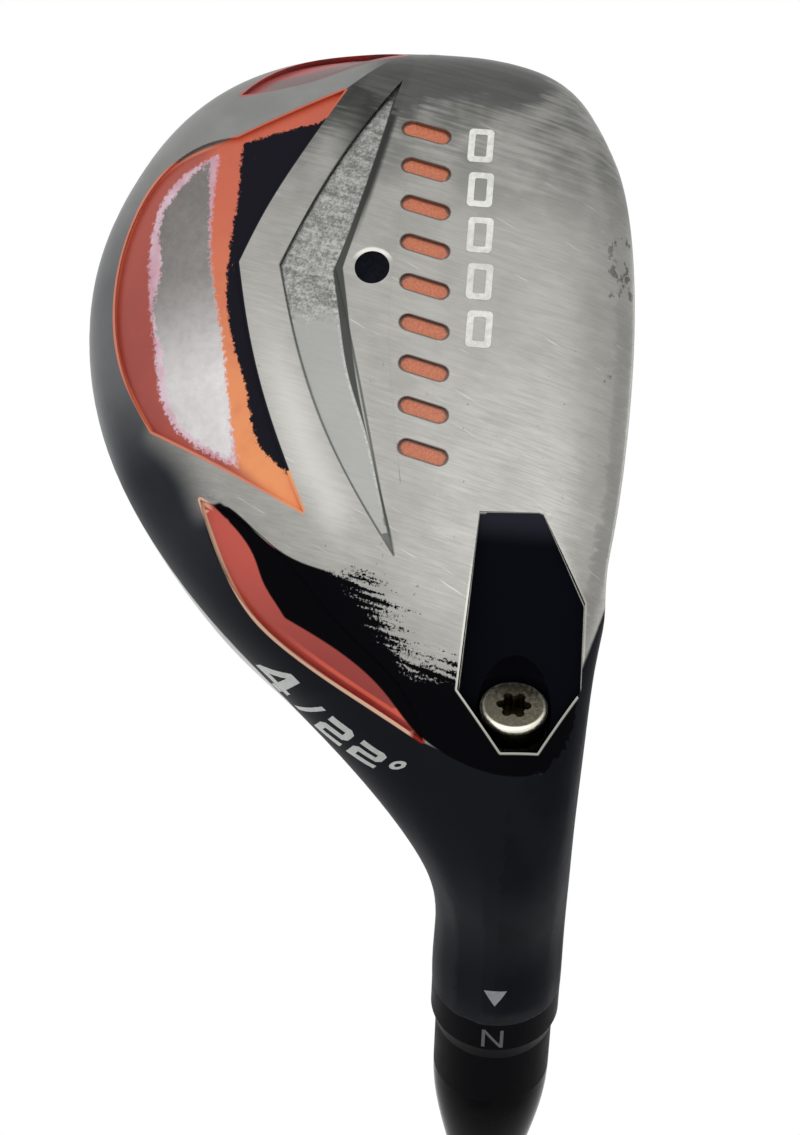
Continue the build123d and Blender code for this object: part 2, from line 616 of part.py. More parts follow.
def grip_cap():
    """Moulded cap that closes the grip, with its vent hole."""
    cap = rod(grip_butt_radius() + GRIP_CAP_LIP, SHAFT_BUTT, CLUB_LENGTH)
    cap = fillet(cap.edges().sort_by(SHAFT_AXIS)[-1], GRIP_CAP_ROUND)
    return cap - rod(VENT_RADIUS, SHAFT_BUTT, CLUB_LENGTH)


# ================================================================ everything
def build():
    head_body, crown, face_panel = head_parts()
    return {
        "head_body": head_body, "crown": crown, "face_panel": face_panel, "port_plug": port_plug(),
        "sole_weight": sole_weight(), "damping_gel": damping_gel(), "bolt_retainer": bolt_retainer(),
        "hosel_bolt": hosel_bolt(), "bolt_washer": bolt_washer(),
        "shaft_sleeve": shaft_sleeve(), "setting_ring": setting_ring(), "ferrule": ferrule(),
        "shaft": shaft(), "tip_weight": tip_weight(),
        "grip_tape": grip_tape(), "grip": grip(), "grip_cap": grip_cap(),
    }


os.makedirs("parts", exist_ok=True)
for name, piece in build().items():
    export_step(piece, f"parts/{name}.step")
    print(name, len(piece.solids()), round(piece.volume, 1))
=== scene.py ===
# %% [markdown]
# # A hybrid golf club, dressed for its picture
# This lesson starts from a finished CAD model of an adjustable hybrid: a hollow steel head, a sleeve and bolt that
# hold it on the shaft, and a grip.
# Here we give each piece the finish of the real one, and add what a drawing leaves out: paint, wear, marks and a
# moulded grip.

# %% Tools and the frame
import math
import bmesh
import bpy
import numpy as np
from mathutils import Matrix, Vector
from mathutils.bvhtree import BVHTree
from mathutils.kdtree import KDTree


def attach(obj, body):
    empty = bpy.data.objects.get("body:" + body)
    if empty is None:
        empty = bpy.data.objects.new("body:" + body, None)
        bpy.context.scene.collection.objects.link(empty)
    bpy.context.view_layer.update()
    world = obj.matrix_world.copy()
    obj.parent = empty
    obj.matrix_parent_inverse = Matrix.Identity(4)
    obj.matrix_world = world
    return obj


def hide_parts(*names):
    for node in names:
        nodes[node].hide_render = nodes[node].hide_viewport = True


MM = 0.001
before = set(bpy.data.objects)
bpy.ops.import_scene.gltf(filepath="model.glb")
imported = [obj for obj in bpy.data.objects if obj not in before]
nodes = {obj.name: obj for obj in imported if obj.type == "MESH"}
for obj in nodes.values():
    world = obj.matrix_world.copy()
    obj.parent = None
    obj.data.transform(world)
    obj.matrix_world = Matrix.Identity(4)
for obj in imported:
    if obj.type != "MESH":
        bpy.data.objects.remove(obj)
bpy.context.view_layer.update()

# %% [markdown]
# ## Directions that everything shares
# The club stands as at address: x runs along the head towards its toe, y towards the target and z up, and the
# origin is where the shaft's axis meets the ground.
# The shaft leans back over the heel at the lie angle, so a height along the axis and an angle round it place
# anything on the shaft side.

# %% Shaft axis
LIE = math.radians(59.5)
UP_SHAFT = Vector((-math.cos(LIE), 0, math.sin(LIE)))
TARGET_WAY = Vector((0, 1, 0))
UNDER_SIDE = UP_SHAFT.cross(TARGET_WAY)


def on_axis(height, radius=0.0, turn=0.0):
    """Point in metres at a height along the shaft's axis; turn 0 faces the target and a quarter turn faces down."""
    out = TARGET_WAY * math.cos(turn) + UNDER_SIDE * math.sin(turn)
    return (UP_SHAFT * height + out * radius) * MM


print("axis points up along", [round(v, 3) for v in UP_SHAFT])
print("a quarter turn faces", [round(v, 3) for v in UNDER_SIDE])

# %% [markdown]
# ## Small helpers for finishes
# A finish in Blender is a net of nodes. Most of the nodes here do one of five things: read a stored distance, make
# noise, turn a distance into a soft edge, mix two colours, or mix two numbers.
# One function adds a node with its settings and links. The others are short names for those five and for a little
# arithmetic.

# %% Node helpers
WORN_MIRROR = "d1d1d1"
FAINT_MIRROR, CROWN_MIRROR = 0.01, 0.3


def linear(hex_colour):
    """Colour as it is written on screen (sRGB hex) to the linear values that a shader wants."""
    levels = [int(hex_colour[i:i + 2], 16) / 255 for i in (0, 2, 4)]
    return [v / 12.92 if v <= 0.04045 else ((v + 0.055) / 1.055) ** 2.4 for v in levels] + [1.0]


def begin(tree):
    """Empties a net of nodes. From here on the helpers add to this one."""
    global net
    net = tree
    net.nodes.clear()


def put(kind, inputs=None, **settings):
    """Adds one node. settings are its own properties, inputs are values or other nodes' outputs."""
    node = net.nodes.new("ShaderNode" + kind)
    for name, value in settings.items():
        setattr(node, name, value)
    for socket, value in (inputs or {}).items():
        if isinstance(value, bpy.types.NodeSocket):
            net.links.new(value, node.inputs[socket])
        else:
            node.inputs[socket].default_value = value
    return node


def calc(operation, a, b=0.0):
    return put("Math", {0: a, 1: b}, operation=operation).outputs[0]


def vector(operation, a, b=(0, 0, 0)):
    """Vector arithmetic, which gives a number for a distance, a length or a dot product."""
    node = put("VectorMath", {0: a, 1: b}, operation=operation)
    return node.outputs["Value" if operation in ("DISTANCE", "LENGTH", "DOT_PRODUCT") else 0]


def repeated(operation):
    """Makes a helper that applies one operation to any number of values, from left to right."""
    def helper(*values):
        result = values[0]
        for value in values[1:]:
            result = calc(operation, result, value)
        return result
    return helper


product, total, largest = (repeated(operation) for operation in ("MULTIPLY", "ADD", "MAXIMUM"))


def inverse(share):
    return calc("SUBTRACT", 1.0, share)


def edge(value, low, high, start=0.0, end=1.0):
    """Soft step from start to end as value passes from low to high."""
    inputs = {"Value": value, "From Min": low, "From Max": high, "To Min": start, "To Max": end}
    return put("MapRange", inputs, interpolation_type="SMOOTHSTEP").outputs[0]


def band(value, rise, fall):
    """Soft stripe that comes up over the two values in rise and goes down over the two in fall."""
    return product(edge(value, *rise), edge(value, *fall))


def patch(place, middle, outer, inner):
    """Round soft patch: 1 within inner mm of its middle and 0 beyond outer mm."""
    return edge(vector("DISTANCE", place, middle), outer, inner)


def mix(share, a, b):
    """Mixes two colours, given as hex or as sockets."""
    inputs = {0: share}
    for number, colour in ((6, a), (7, b)):
        inputs[number] = linear(colour) if isinstance(colour, str) else colour
    return put("Mix", inputs, data_type="RGBA").outputs[2]


def dulled(share, colour):
    """Darkens a bare metal, where share is 1, to what worn metal reflects of white surroundings."""
    inputs = {0: share, 6: colour, 7: linear(WORN_MIRROR)}
    return put("Mix", inputs, data_type="RGBA", blend_type="MULTIPLY").outputs[2]


def blend(share, a, b):
    """Mixes two numbers."""
    return put("Mix", {0: share, 2: a, 3: b}, data_type="FLOAT").outputs[0]


def stored(name):
    return put("Attribute", attribute_name=name).outputs["Fac"]


def millimetres(stretch=(1, 1, 1), turn=0.0):
    """The piece's own coordinates in mm, turned about z and then stretched."""
    place = put("TexCoord").outputs["Object"]
    turned = put("VectorRotate", {"Vector": place, "Angle": turn}, rotation_type="Z_AXIS").outputs[0]
    return vector("MULTIPLY", turned, [s / MM for s in stretch])


def noise(place, scale, detail, rough):
    """Noise around 0.5; scale is in bumps per unit of place."""
    inputs = {"Vector": place, "Scale": scale, "Detail": detail, "Roughness": rough}
    return put("TexNoise", inputs).outputs["Fac"]


def bump(height, depth_mm):
    """Surface relief: a height of 1 stands depth_mm proud."""
    return put("Bump", {"Height": height, "Distance": depth_mm * MM, "Strength": 1.0}).outputs[0]


def new_material(name):
    """Starts a material; the nodes that follow go into its net."""
    material = bpy.data.materials.new(name)
    material.use_nodes = True
    begin(material.node_tree)
    return material


def shade(**sockets):
    """Ends the net in one Principled shader; names are its sockets with _ for a space."""
    shader = put("BsdfPrincipled", {name.replace("_", " "): value for name, value in sockets.items()})
    put("OutputMaterial", {"Surface": shader.outputs[0]})


def wear(piece, material):
    piece.data.materials.clear()
    piece.data.materials.append(material)


def add(name, data):
    """New object in the scene."""
    piece = bpy.data.objects.new(name, data)
    bpy.context.scene.collection.objects.link(piece)
    return piece


def store(mesh, name, values, domain="POINT"):
    mesh.attributes.new(name, "FLOAT", domain).data.foreach_set("value", np.asarray(values, np.float32))


print("mid grey reads as", [round(v, 3) for v in linear("808080")[:3]])

# %% [markdown]
# ## Small helpers for outlines
# The sole's paint follows curved outlines. An outline is a chain of runs: two points make a straight run and more
# make a smooth one, as with a flexible spline on a drawing board.
# For each point of the skin we store how far inside an outline it lies, in millimetres. A shader can turn that one
# number into paint, a worn rim or a halo, and the edge stays sharp however coarse the mesh is.

# %% Outline helpers
AT_A_TIME = 4000


def smooth_run(points, steps=10):
    """Samples a natural cubic spline through the points."""
    p = np.array(points, float)
    if len(p) == 2:
        return p
    u = np.concatenate([[0], np.cumsum(np.linalg.norm(np.diff(p, axis=0), axis=1))])
    h = np.diff(u)
    n = len(p)
    a = np.eye(n)
    rhs = np.zeros_like(p)
    for i in range(1, n - 1):
        a[i, i - 1:i + 2] = h[i - 1], 2 * (h[i - 1] + h[i]), h[i]
        rhs[i] = 6 * ((p[i + 1] - p[i]) / h[i] - (p[i] - p[i - 1]) / h[i - 1])
    m = np.linalg.solve(a, rhs)
    out = []
    for i in range(n - 1):
        t = np.linspace(0, h[i], steps, endpoint=False)[:, None]
        out.append(p[i] + t * ((p[i + 1] - p[i]) / h[i] - h[i] * (2 * m[i] + m[i + 1]) / 6)
                   + t ** 2 * m[i] / 2 + t ** 3 * (m[i + 1] - m[i]) / (6 * h[i]))
    return np.vstack(out + [p[-1:]])


def outline(*runs):
    """Joins runs into one chain of points."""
    return np.vstack([smooth_run(run) for run in runs])


def straight(*corners):
    """Straight runs from corner to corner."""
    return list(zip(corners, corners[1:]))


def reach(points, chain, closed=True):
    """Distance of each point to the chain in mm, positive inside a closed one or to the left of an open one."""
    start = chain
    end = np.roll(chain, -1, axis=0)
    if not closed:
        start, end = chain[:-1], chain[1:]
    along = end - start
    length = np.maximum((along ** 2).sum(1), 1e-12)
    result = np.empty(len(points))
    for first in range(0, len(points), AT_A_TIME):
        p = points[first:first + AT_A_TIME, None]
        share = np.clip(((p - start) * along).sum(2) / length, 0, 1)
        gap = p - start - share[..., None] * along
        distance = np.sqrt((gap ** 2).sum(2))
        nearest = distance.argmin(1)
        rows = np.arange(len(nearest))
        if closed:
            y, y0, y1 = p[..., 1], start[:, 1], end[:, 1]
            crosses = (y0 > y) != (y1 > y)
            at = start[:, 0] + (y - y0) / np.where(y1 == y0, 1e-9, y1 - y0) * along[:, 0]
            sign = np.where((crosses & (p[..., 0] < at)).sum(1) % 2 == 1, 1, -1)
        else:
            side = along[nearest, 0] * gap[rows, nearest, 1] - along[nearest, 1] * gap[rows, nearest, 0]
            sign = np.where(side > 0, 1, -1)
        result[first:first + AT_A_TIME] = distance[rows, nearest] * sign
    return result


square = outline(*straight((0, 0), (2, 0), (2, 2), (0, 2), (0, 0)))
print("middle of a 2 mm square, and 1 mm outside it:", reach(np.array([[1.0, 1.0], [3.0, 1.0]]), square))

# %% [markdown]
# ## The head's skin
# The real head is cast in stainless steel, and its sole is brushed, then masked and painted. We copy the CAD mesh,
# weld it and cut its long edges, because the stored distances are read off at its points.
# The CAD's own normals make the curved skin shade smoothly. They ride along as a corner attribute while the edges
# are cut, and are put back at the end. Where two of its faces meet at a very flat angle their normals are averaged,
# so that no seam shows. On the flat of the sole and on the hosel they are also evened out over a few millimetres,
# as polishing does.

# %% Copy the head's skin
LONGEST_EDGE, CUT_ROUNDS = 1.4, 4
FLAT_SEAM = math.cos(math.radians(12))
EASE_RADIUS, EASE_ROUNDS, EASE_BELOW, EASE_X = 3.0, 2, -0.9, -4.0
SKIN_TOP, FACING_UP, HOSEL_TOP, HOSEL_X = 22.0, 0.35, 60.0, 2.0
WELD = 0.001


def of_length_one(vectors):
    return vectors / np.maximum(np.linalg.norm(vectors, axis=1), 1e-9)[:, None]


def rows(items, what):
    """A vector that each item of a mesh has, one row each."""
    flat = np.zeros(len(items) * 3)
    items.foreach_get(what, flat)
    return flat.reshape(-1, 3)


def cut_long(work, longest, rounds, wanted=lambda e: True):
    """Halves the edges that are too long, round after round, and leaves triangles."""
    for _ in range(rounds):
        long = [e for e in work.edges if e.calc_length() > longest and wanted(e)]
        if not long:
            break
        bmesh.ops.subdivide_edges(work, edges=long, cuts=1)
        bmesh.ops.triangulate(work, faces=[f for f in work.faces if len(f.verts) > 3])


def welded_copy(cad, name, wanted):
    """Copy of a CAD mesh with doubles merged, long edges cut where wanted says so, and its normals kept."""
    mesh = cad.data.copy()
    mesh.name = name
    normals = rows(mesh.corner_normals, "vector").ravel()
    mesh.attributes.new("cad_normal", "FLOAT_VECTOR", "CORNER").data.foreach_set("vector", normals)
    work = bmesh.new()
    work.from_mesh(mesh)
    bmesh.ops.remove_doubles(work, verts=work.verts, dist=WELD * MM)
    cut_long(work, LONGEST_EDGE * MM, CUT_ROUNDS, lambda e: any(wanted(f) for f in e.link_faces))
    work.to_mesh(mesh)
    work.free()
    normals = of_length_one(rows(mesh.attributes["cad_normal"].data, "vector"))
    mesh.attributes.remove(mesh.attributes["cad_normal"])
    corner_points = np.zeros(len(mesh.loops), np.int32)
    mesh.loops.foreach_get("vertex_index", corner_points)
    shared = np.zeros((len(mesh.vertices), 3))
    np.add.at(shared, corner_points, normals)
    shared = of_length_one(shared)
    meeting = shared[corner_points]
    seam = (normals * meeting).sum(1) > FLAT_SEAM
    normals[seam] = meeting[seam]
    smooth = np.ones(len(shared), bool)
    smooth[corner_points[~seam]] = False
    places = rows(mesh.vertices, "co") / MM
    spots = np.flatnonzero(smooth & ((shared[:, 2] < EASE_BELOW) | (places[:, 0] < EASE_X)))
    for _ in range(EASE_ROUNDS):
        tree = KDTree(len(spots))
        for spot in spots:
            tree.insert(places[spot], int(spot))
        tree.balance()
        eased = shared.copy()
        for spot in spots:
            near_by = shared[[i for _, i, _ in tree.find_range(places[spot], EASE_RADIUS)]]
            eased[spot] = near_by[near_by @ shared[spot] > FLAT_SEAM].mean(0)
        shared = of_length_one(eased)
    smooth_corners = np.isin(corner_points, spots)
    normals[smooth_corners] = shared[corner_points[smooth_corners]]
    mesh.normals_split_custom_set(normals)
    return add(name, mesh)


def on_the_outside(face):
    """True on the sole, the skirt and the hosel, which are the parts that carry paint and wear."""
    middle = face.calc_center_median()
    on_hosel = middle.x < HOSEL_X * MM and middle.z < HOSEL_TOP * MM
    return (face.normal.z < FACING_UP and middle.z < SKIN_TOP * MM) or on_hosel


head_skin = welded_copy(nodes["head_body"], "head_skin", on_the_outside)
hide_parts("head_body")
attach(head_skin, "head")
skin_tree = BVHTree.FromObject(head_skin, bpy.context.evaluated_depsgraph_get())
skin = head_skin.data
print("skin:", len(skin.vertices), "points,", len(skin.polygons), "faces")

# %% [markdown]
# ## Where the paint lies
# These outlines are in millimetres on the sole, seen from below: the raised, recessed and painted areas of this
# kind of head. The cast panels use the same outlines as the CAD's relief, so paint and step meet.
# Inside the large back panel the paint has three zones: an orange band, a bare metal island whose edge was left
# ragged by the paint's fading, and a black enamel strip along the bank.

# %% Outlines of the sole
BACK_EDGE = [(60.5, -37), (56.5, -45.5), (50, -48.6), (43, -49.7), (32, -48), (24.5, -43.7)]
HEEL_EDGE = [(16.6, -37.3), (5, -30.9), (0.6, -25.9), (-9.4, -9.8)]
TOE_INNER = [(73.4, -18.6), (71.6, -23.2), (69.2, -28), (67, -37.4)]
OUTLINES = {
    "back_panel": outline(
        [(67, -25), (60.5, -37)], BACK_EDGE, [(24.5, -43.7), (14.9, -25.2)],
        [(14.9, -25.2), (28, -31), (37, -33.8), (44.1, -35.4)],
        [(44.1, -35.4), (51, -32.8), (58.6, -29.2), (67, -25)]),
    "valley": outline(
        [(68.7, -18.4), (58.5, -24.2), (43.8, -30.4)],
        [(43.8, -30.4), (33, -27.2), (23, -22.8), (10.4, -14.6)],
        [(10.4, -14.6), (18, -16.8), (28, -19.5), (43.5, -23.9)],
        [(43.5, -23.9), (52.3, -21.8), (68.7, -18.4)]),
    "heel_panel": outline(HEEL_EDGE, [(-9.4, -9.8), (-5.2, -11.6), (2.7, -20.0), (8, -25), (16.6, -37.3)]),
    "toe_panel": outline([(67, -37.4), (71, -33.2), (73.8, -25), (73.4, -18.6)], TOE_INNER),
    "island": outline(
        [(57.5, -40.3), (54.0, -43.1), (49.5, -45.0), (43.9, -44.2), (39.0, -44.7), (33.2, -43.0), (27.3, -41.5),
         (22.0, -35.9), (21.0, -34.0)],
        [(21.0, -34.0), (28.5, -35.3), (36.8, -37.0), (45.0, -38.9), (51.6, -39.6), (57.5, -40.3)]),
    "halo": outline(
        [(58.6, -38.9), (57.6, -41.1), (52.9, -45.3), (46.4, -46.1), (40.5, -45.6), (34.1, -44.3), (26.2, -42.1),
         (21.4, -36.5), (19.9, -32.9)],
        [(19.9, -32.9), (25.9, -34.5), (34.2, -36.1), (42.2, -38.0), (50.4, -38.9), (58.6, -38.9)]),
    "back_enamel": outline(
        [(62.6, -27.5), (61.3, -31.7), (59.7, -36.5)],
        [(59.7, -36.5), (52.6, -36.2), (45.9, -36.5), (40.8, -36.3), (34.1, -34.9), (29.0, -33.0), (22.9, -31.1),
         (19.2, -27.3)],
        [(19.2, -27.3), (22, -24), (44.4, -34), (64, -24), (62.6, -27.5)]),
    "heel_enamel": outline(
        [(17.2, -37.2), (14.1, -33.7), (10.2, -30.5), (7.6, -29.3), (5.0, -27.4), (3.9, -26.6)],
        [(3.9, -26.6), (-0.4, -19.3), (-4.1, -14.5), (-8.4, -10.3), (-10.6, -6.7), (-11.8, -3.2), (-12.1, 1.3),
         (-10.9, 5.7)],
        [(-10.9, 5.7), (-8.4, 8.3)], [(-8.4, 8.3), (-4.0, 8.4), (0.5, 7.6)],
        *straight((0.5, 7.6), (-2.0, 4.0), (-2.0, -4.0), (-2.8, -6.5)),
        [(-2.8, -6.5), (-2.4, -9.3), (-1.6, -12.2), (0.8, -14.2), (4.3, -16.4), (6.9, -18.6), (9.2, -24.5),
         (11.9, -29.3), (15.6, -33.9), (17.2, -37.2)]),
    "toe_grey_area": outline(
        [(75, -24), (66.1, -20.8), (63.7, -17.9)], [(63.7, -17.9), (66.2, -14.4), (66.3, -7.4), (67.0, -1.1)],
        *straight((67.0, -1.1), (80, -1), (80, -24))),
    "sole": outline(
        *straight((80, 30), (80, -16), (73.4, -18.6), (67, -25), (60.5, -37)), BACK_EDGE,
        [(24.5, -43.7), (20.5, -39.5), (16.6, -37.3)], HEEL_EDGE,
        [(-9.4, -9.8), (-10.6, -6.7), (-11.8, -3.2), (-12.1, 1.3), (-10.9, 5.7), (-8.4, 8.3), (-6, 30)]),
    "recess": outline(*straight(
        (16, -5.4), (16.4, 1.7), (6.8, 7.1), (-2.4, 7.4), (-9.8, 3), (-10.1, -1.1), (-3.9, -6.4), (16, -5.4))),
}
# Open chains: a point on their left counts as inside
WALLS = {
    "wall_foot": outline(
        [(9.5, -14.3), (16.1, -16.4), (25.4, -19.3), (30.2, -21.2), (38.4, -23.2), (43.4, -24.3)],
        [(43.4, -24.3), (45.0, -23.8), (51.9, -21.95), (61.2, -20.1), (72, -18.2)]),
    "wall_top": outline(
        [(9.6, -14.0), (20.7, -17.6), (30.3, -20.4), (39.7, -22.3), (43.7, -23.1)],
        [(43.7, -23.1), (50.6, -21.5), (59.1, -19.7), (66.6, -18.3), (72, -17.5)]),
    "toe_inner": outline(TOE_INNER),
    "inner_side": outline([(15, -27), (24, -36.5), (36, -40.5), (50, -42), (62, -38), (66, -30)]),
}
HEEL_SIDE_FROM, HEEL_SIDE_WAY = np.array([-12.0, 0.0]), np.array([0.75, 0.66])
PORT_PLACE, PORT_RADIUS = np.array([43.9, -19.8]), 2.0
BAR_COUNT, BAR_PITCH, BAR_FIRST = 9, 4.9, (61.5, -15.0)
BAR_HALF = (2.9 - 0.95, 0.95)
BAR_SLANT, BAR_RUN = math.radians(104), math.radians(4)
FAR = 9.0

points = rows(skin.vertices, "co") / MM
low = points[:, 2] < SKIN_TOP
near = points[low, :2]
STORED = []


def keep(name, distances):
    """Stores one distance per point, cut off at FAR, with the top of the head left well outside."""
    values = np.full(len(points), -FAR)
    values[low] = np.clip(distances, -FAR, FAR)
    store(skin, name, values)
    STORED.append(name)


for name, chain in OUTLINES.items():
    keep(name, reach(near, chain))
for name, chain in WALLS.items():
    keep(name, reach(near, chain, closed=False))
keep("panel_heel_side", (near - HEEL_SIDE_FROM) @ HEEL_SIDE_WAY)
keep("port", PORT_RADIUS - np.linalg.norm(near - PORT_PLACE, axis=1))
bar_way = np.array([math.cos(BAR_SLANT), math.sin(BAR_SLANT)])
bar_reach = np.full(len(near), -FAR)
for i in range(BAR_COUNT):
    aside = near - (BAR_FIRST[0] - i * BAR_PITCH, BAR_FIRST[1] + i * BAR_PITCH * math.sin(BAR_RUN))
    along = np.clip(aside @ bar_way, -BAR_HALF[0], BAR_HALF[0])
    bar_reach = np.maximum(bar_reach, BAR_HALF[1] - np.linalg.norm(aside - along[:, None] * bar_way, axis=1))
keep("bars", bar_reach)
print("stored:", ", ".join(STORED))

face_normals = rows(skin.polygons, "normal")
face_centres = rows(skin.polygons, "center") / MM
from_recess = np.abs(reach(face_centres[:, :2], OUTLINES["recess"]))
recess_wall = (np.abs(face_normals[:, 2]) < 0.5) & (face_centres[:, 2] < SKIN_TOP) & (from_recess < 0.1)
print("faces on the recess walls:", int(recess_wall.sum()))

# %% [markdown]
# The face is machined to the loft, with a slight bulge from heel to toe. How closely each mesh face agrees with
# that surface tells the shader where the bare steel face is.
# Beside it the skin sweeps forward into the hosel and has the hosel's finish. The outlines above are seen from
# below, so they don't count on these two.

# %% Where the face is
LOFT = math.radians(22)
FACE_MID_X, FACE_BULGE, FACE_HEEL_X = 33.0, 200.0, 13.0
FACE_MATCH = 0.996
HEEL_FRONT_X, OFF_SHAFT, DOWNWARD = 16.0, 7.0, -0.8

bulge = ((face_centres[:, 0] - FACE_MID_X) / FACE_BULGE)[:, None]
face_out = np.array([0, math.cos(LOFT), math.sin(LOFT)]) * np.sqrt(np.maximum(1 - bulge ** 2, 0))
facing = (face_normals * (face_out + bulge * np.array([1.0, 0, 0]))).sum(1)
on_face = (facing > FACE_MATCH) & (face_centres[:, 0] > FACE_HEEL_X - 0.1)
off_shaft = np.linalg.norm(np.cross(face_centres, np.array(UP_SHAFT)), axis=1)
in_front = (face_centres[:, 0] < HEEL_FRONT_X) & (face_centres[:, 1] > 0) & (off_shaft > OFF_SHAFT)
heel_front = in_front & (face_normals[:, 2] > DOWNWARD) & ~on_face & ~recess_wall
for name, chosen in (("recess_wall", recess_wall), ("on_face", on_face), ("heel_front", heel_front)):
    store(skin, name, chosen, "FACE")
print("mesh faces on the face:", int(on_face.sum()), "and beside it:", int(heel_front.sum()))

# %% [markdown]
# ## Brushed steel, enamel, wear and painted light in one finish
# The sole's steel was brushed across the head, so its fine lines run from the back to the face. Lines are noise
# that is stretched far along the brush and squeezed across it.
# Everything painted is a colour laid over that steel by a stored distance. Adding a little noise to the distance
# before it becomes an edge gives the chipped, faded borders of old enamel. Some colours here are painted light:
# painted shade along steps, creases and slot edges, and painted highlights on rims and towards the heel.

# %% Head finish
BRUSH, SCRATCH = math.radians(-105), math.radians(-118)
BACK_HEEL_CORNER, TOE_TIP, FRONT_CONTACT = (20.5, -39.5, 6), (77, -16, 14), (47, 9, 3)
CROWN_LINE = 19.6

head_finish = new_material("head_steel_enamel_and_painted_light")
place = millimetres()
x, y, z = put("SeparateXYZ", {0: place}).outputs
inside = {name: stored(name) for name in STORED}
lines = noise(millimetres((0.3, 8.0, 1.5), BRUSH), 1.0, 3, 0.6)
streaks = noise(millimetres((0.12, 1.8, 0.6), BRUSH), 1.0, 3, 0.5)
scratches = noise(millimetres((0.16, 3.2, 1), SCRATCH), 1.0, 2, 0.5)
grit = noise(place, 3.2, 3, 0.7)
ragged = noise(place, 1.1, 4, 0.65)
torn = noise(place, 1.9, 5, 0.75)
clouds = noise(place, 0.16, 3, 0.55)

steel = mix(edge(lines, 0.3, 0.7), "a09f9a", "abaaa5")
steel = mix(edge(streaks, 0.4, 0.7, 0, 0.3), steel, "b9b8b3")
steel = mix(edge(clouds, 0.4, 0.7, 0, 0.4), steel, "90908b")
steel = mix(edge(scratches, 0.68, 0.76, 0, 0.4), steel, "d6d5d0")
nicks = edge(noise(place, 1.4, 3, 0.6), 0.69, 0.74, 0, 0.5)
steel = mix(product(nicks, edge(x, 45, 25)), steel, "55544f")

in_valley = edge(inside["valley"], -0.05, 0.1)
mottle = total(product(grit, 0.45), product(ragged, 0.3), product(streaks, 0.25))
frosted = mix(edge(mottle, 0.38, 0.62), "747571", "bcbdb8")
toe_arm = edge(total(x, product(ragged, 6.0)), 39, 42)
blasted = product(in_valley, toe_arm)
steel = mix(blasted, steel, frosted)
steel = mix(product(in_valley, inverse(toe_arm), 0.7), steel, "a3a5a1")
# The bank is lighter from its middle towards the heel.
lighter_bank = product(band(inside["valley"], (-7, -2), (0.0, -0.3)), edge(inside["back_panel"], -7, -2),
                      edge(x, 44, 26))
steel = mix(product(lighter_bank, 0.55), steel, "dddcd6")
# Painted shade: a dark line along the step wall between the valley and the sole.
step_shade = product(edge(inside["wall_foot"], -0.05, 0.1), edge(inside["wall_top"], 0.05, -0.12),
                 band(x, (10, 14), (68.6, 67.6)))
steel = mix(step_shade, steel, "4b4c49")
# Painted highlight: a broken bright line at the foot of that step.
glint = product(band(inside["wall_foot"], (-0.35, -0.2), (0.02, -0.12)), band(x, (14, 20), (43.5, 42)),
                edge(grit, 0.42, 0.58))
steel = mix(product(glint, 0.6), steel, "cdccc6")
# Painted shade: a thin dark line along the valley's edges.
valley_edge_shade = band(inside["valley"], (-0.2, -0.05), (0.25, 0.05))
steel = mix(product(valley_edge_shade, 0.75), steel, "4a4c48")

no_step = largest(patch(place, BACK_HEEL_CORNER, 8, 5), patch(place, TOE_TIP, 14, 8))
skirt = blend(no_step, edge(inside["sole"], 0.1, -0.15), edge(inside["sole"], 2.5, -2.5))
gunmetal = mix(edge(x, 62, 40), "9a9a98", "6f7072")
gunmetal = mix(edge(x, 34, 19), gunmetal, "2f3136")
gunmetal = mix(edge(x, 14, 2), gunmetal, "1b1c21")
gunmetal = mix(edge(clouds, 0.3, 0.7, 0, 0.15), gunmetal, "15161a")
base = mix(skirt, steel, gunmetal)


def frayed(name, source, amount):
    """A stored distance whose zero line wanders by half the amount in mm."""
    shift = put("Math", {0: source, 1: amount, 2: -amount / 2}, operation="MULTIPLY_ADD").outputs[0]
    return total(inside[name], shift)


on_sole = inverse(skirt)
flat_steel = product(inverse(in_valley), on_sole)
smear = total(product(streaks, 0.6), product(clouds, 0.5))
# Towards the toe the sole turns darker: a non-metallic grey area with a ragged border, and streaky darker patches.
grey_toe = product(edge(frayed("toe_grey_area", smear, 8.0), -1.2, 1.0), flat_steel, 0.95)
toe_darkening = product(edge(x, 47, 65), edge(smear, 0.4, 0.7), flat_steel)
base = mix(product(toe_darkening, 0.65), base, "474845")
from_wall = total(inside["wall_top"], edge(x, 48, 68, 0, 4.0))
beside_wall = product(edge(from_wall, -4.6, 0.6), edge(inside["wall_top"], 0.6, 0.0), edge(x, 45, 54),
                      edge(smear, 0.22, 0.46), flat_steel)
base = mix(product(beside_wall, 0.9), base, "3b3c39")
beside_bank = product(edge(inside["valley"], -1.2, -4.0), edge(x, 57, 65), edge(y, -20, -22),
                      edge(smear, 0.36, 0.56), on_sole)
base = mix(product(beside_bank, 0.75), base, "3f403e")
base = mix(grey_toe, base, mix(edge(streaks, 0.35, 0.75), "363735", "4a4b49"))
scuffs = noise(millimetres((1.0, 0.6, 1.0), BRUSH), 0.7, 4, 0.65)
scuffs = total(scuffs, product(patch(place, FRONT_CONTACT, 7, 2), 0.08))
front_scuff = product(edge(y, 4.5, 8.5), edge(scuffs, 0.64, 0.7))
base = mix(product(front_scuff, 0.7), base, "4a4a47")

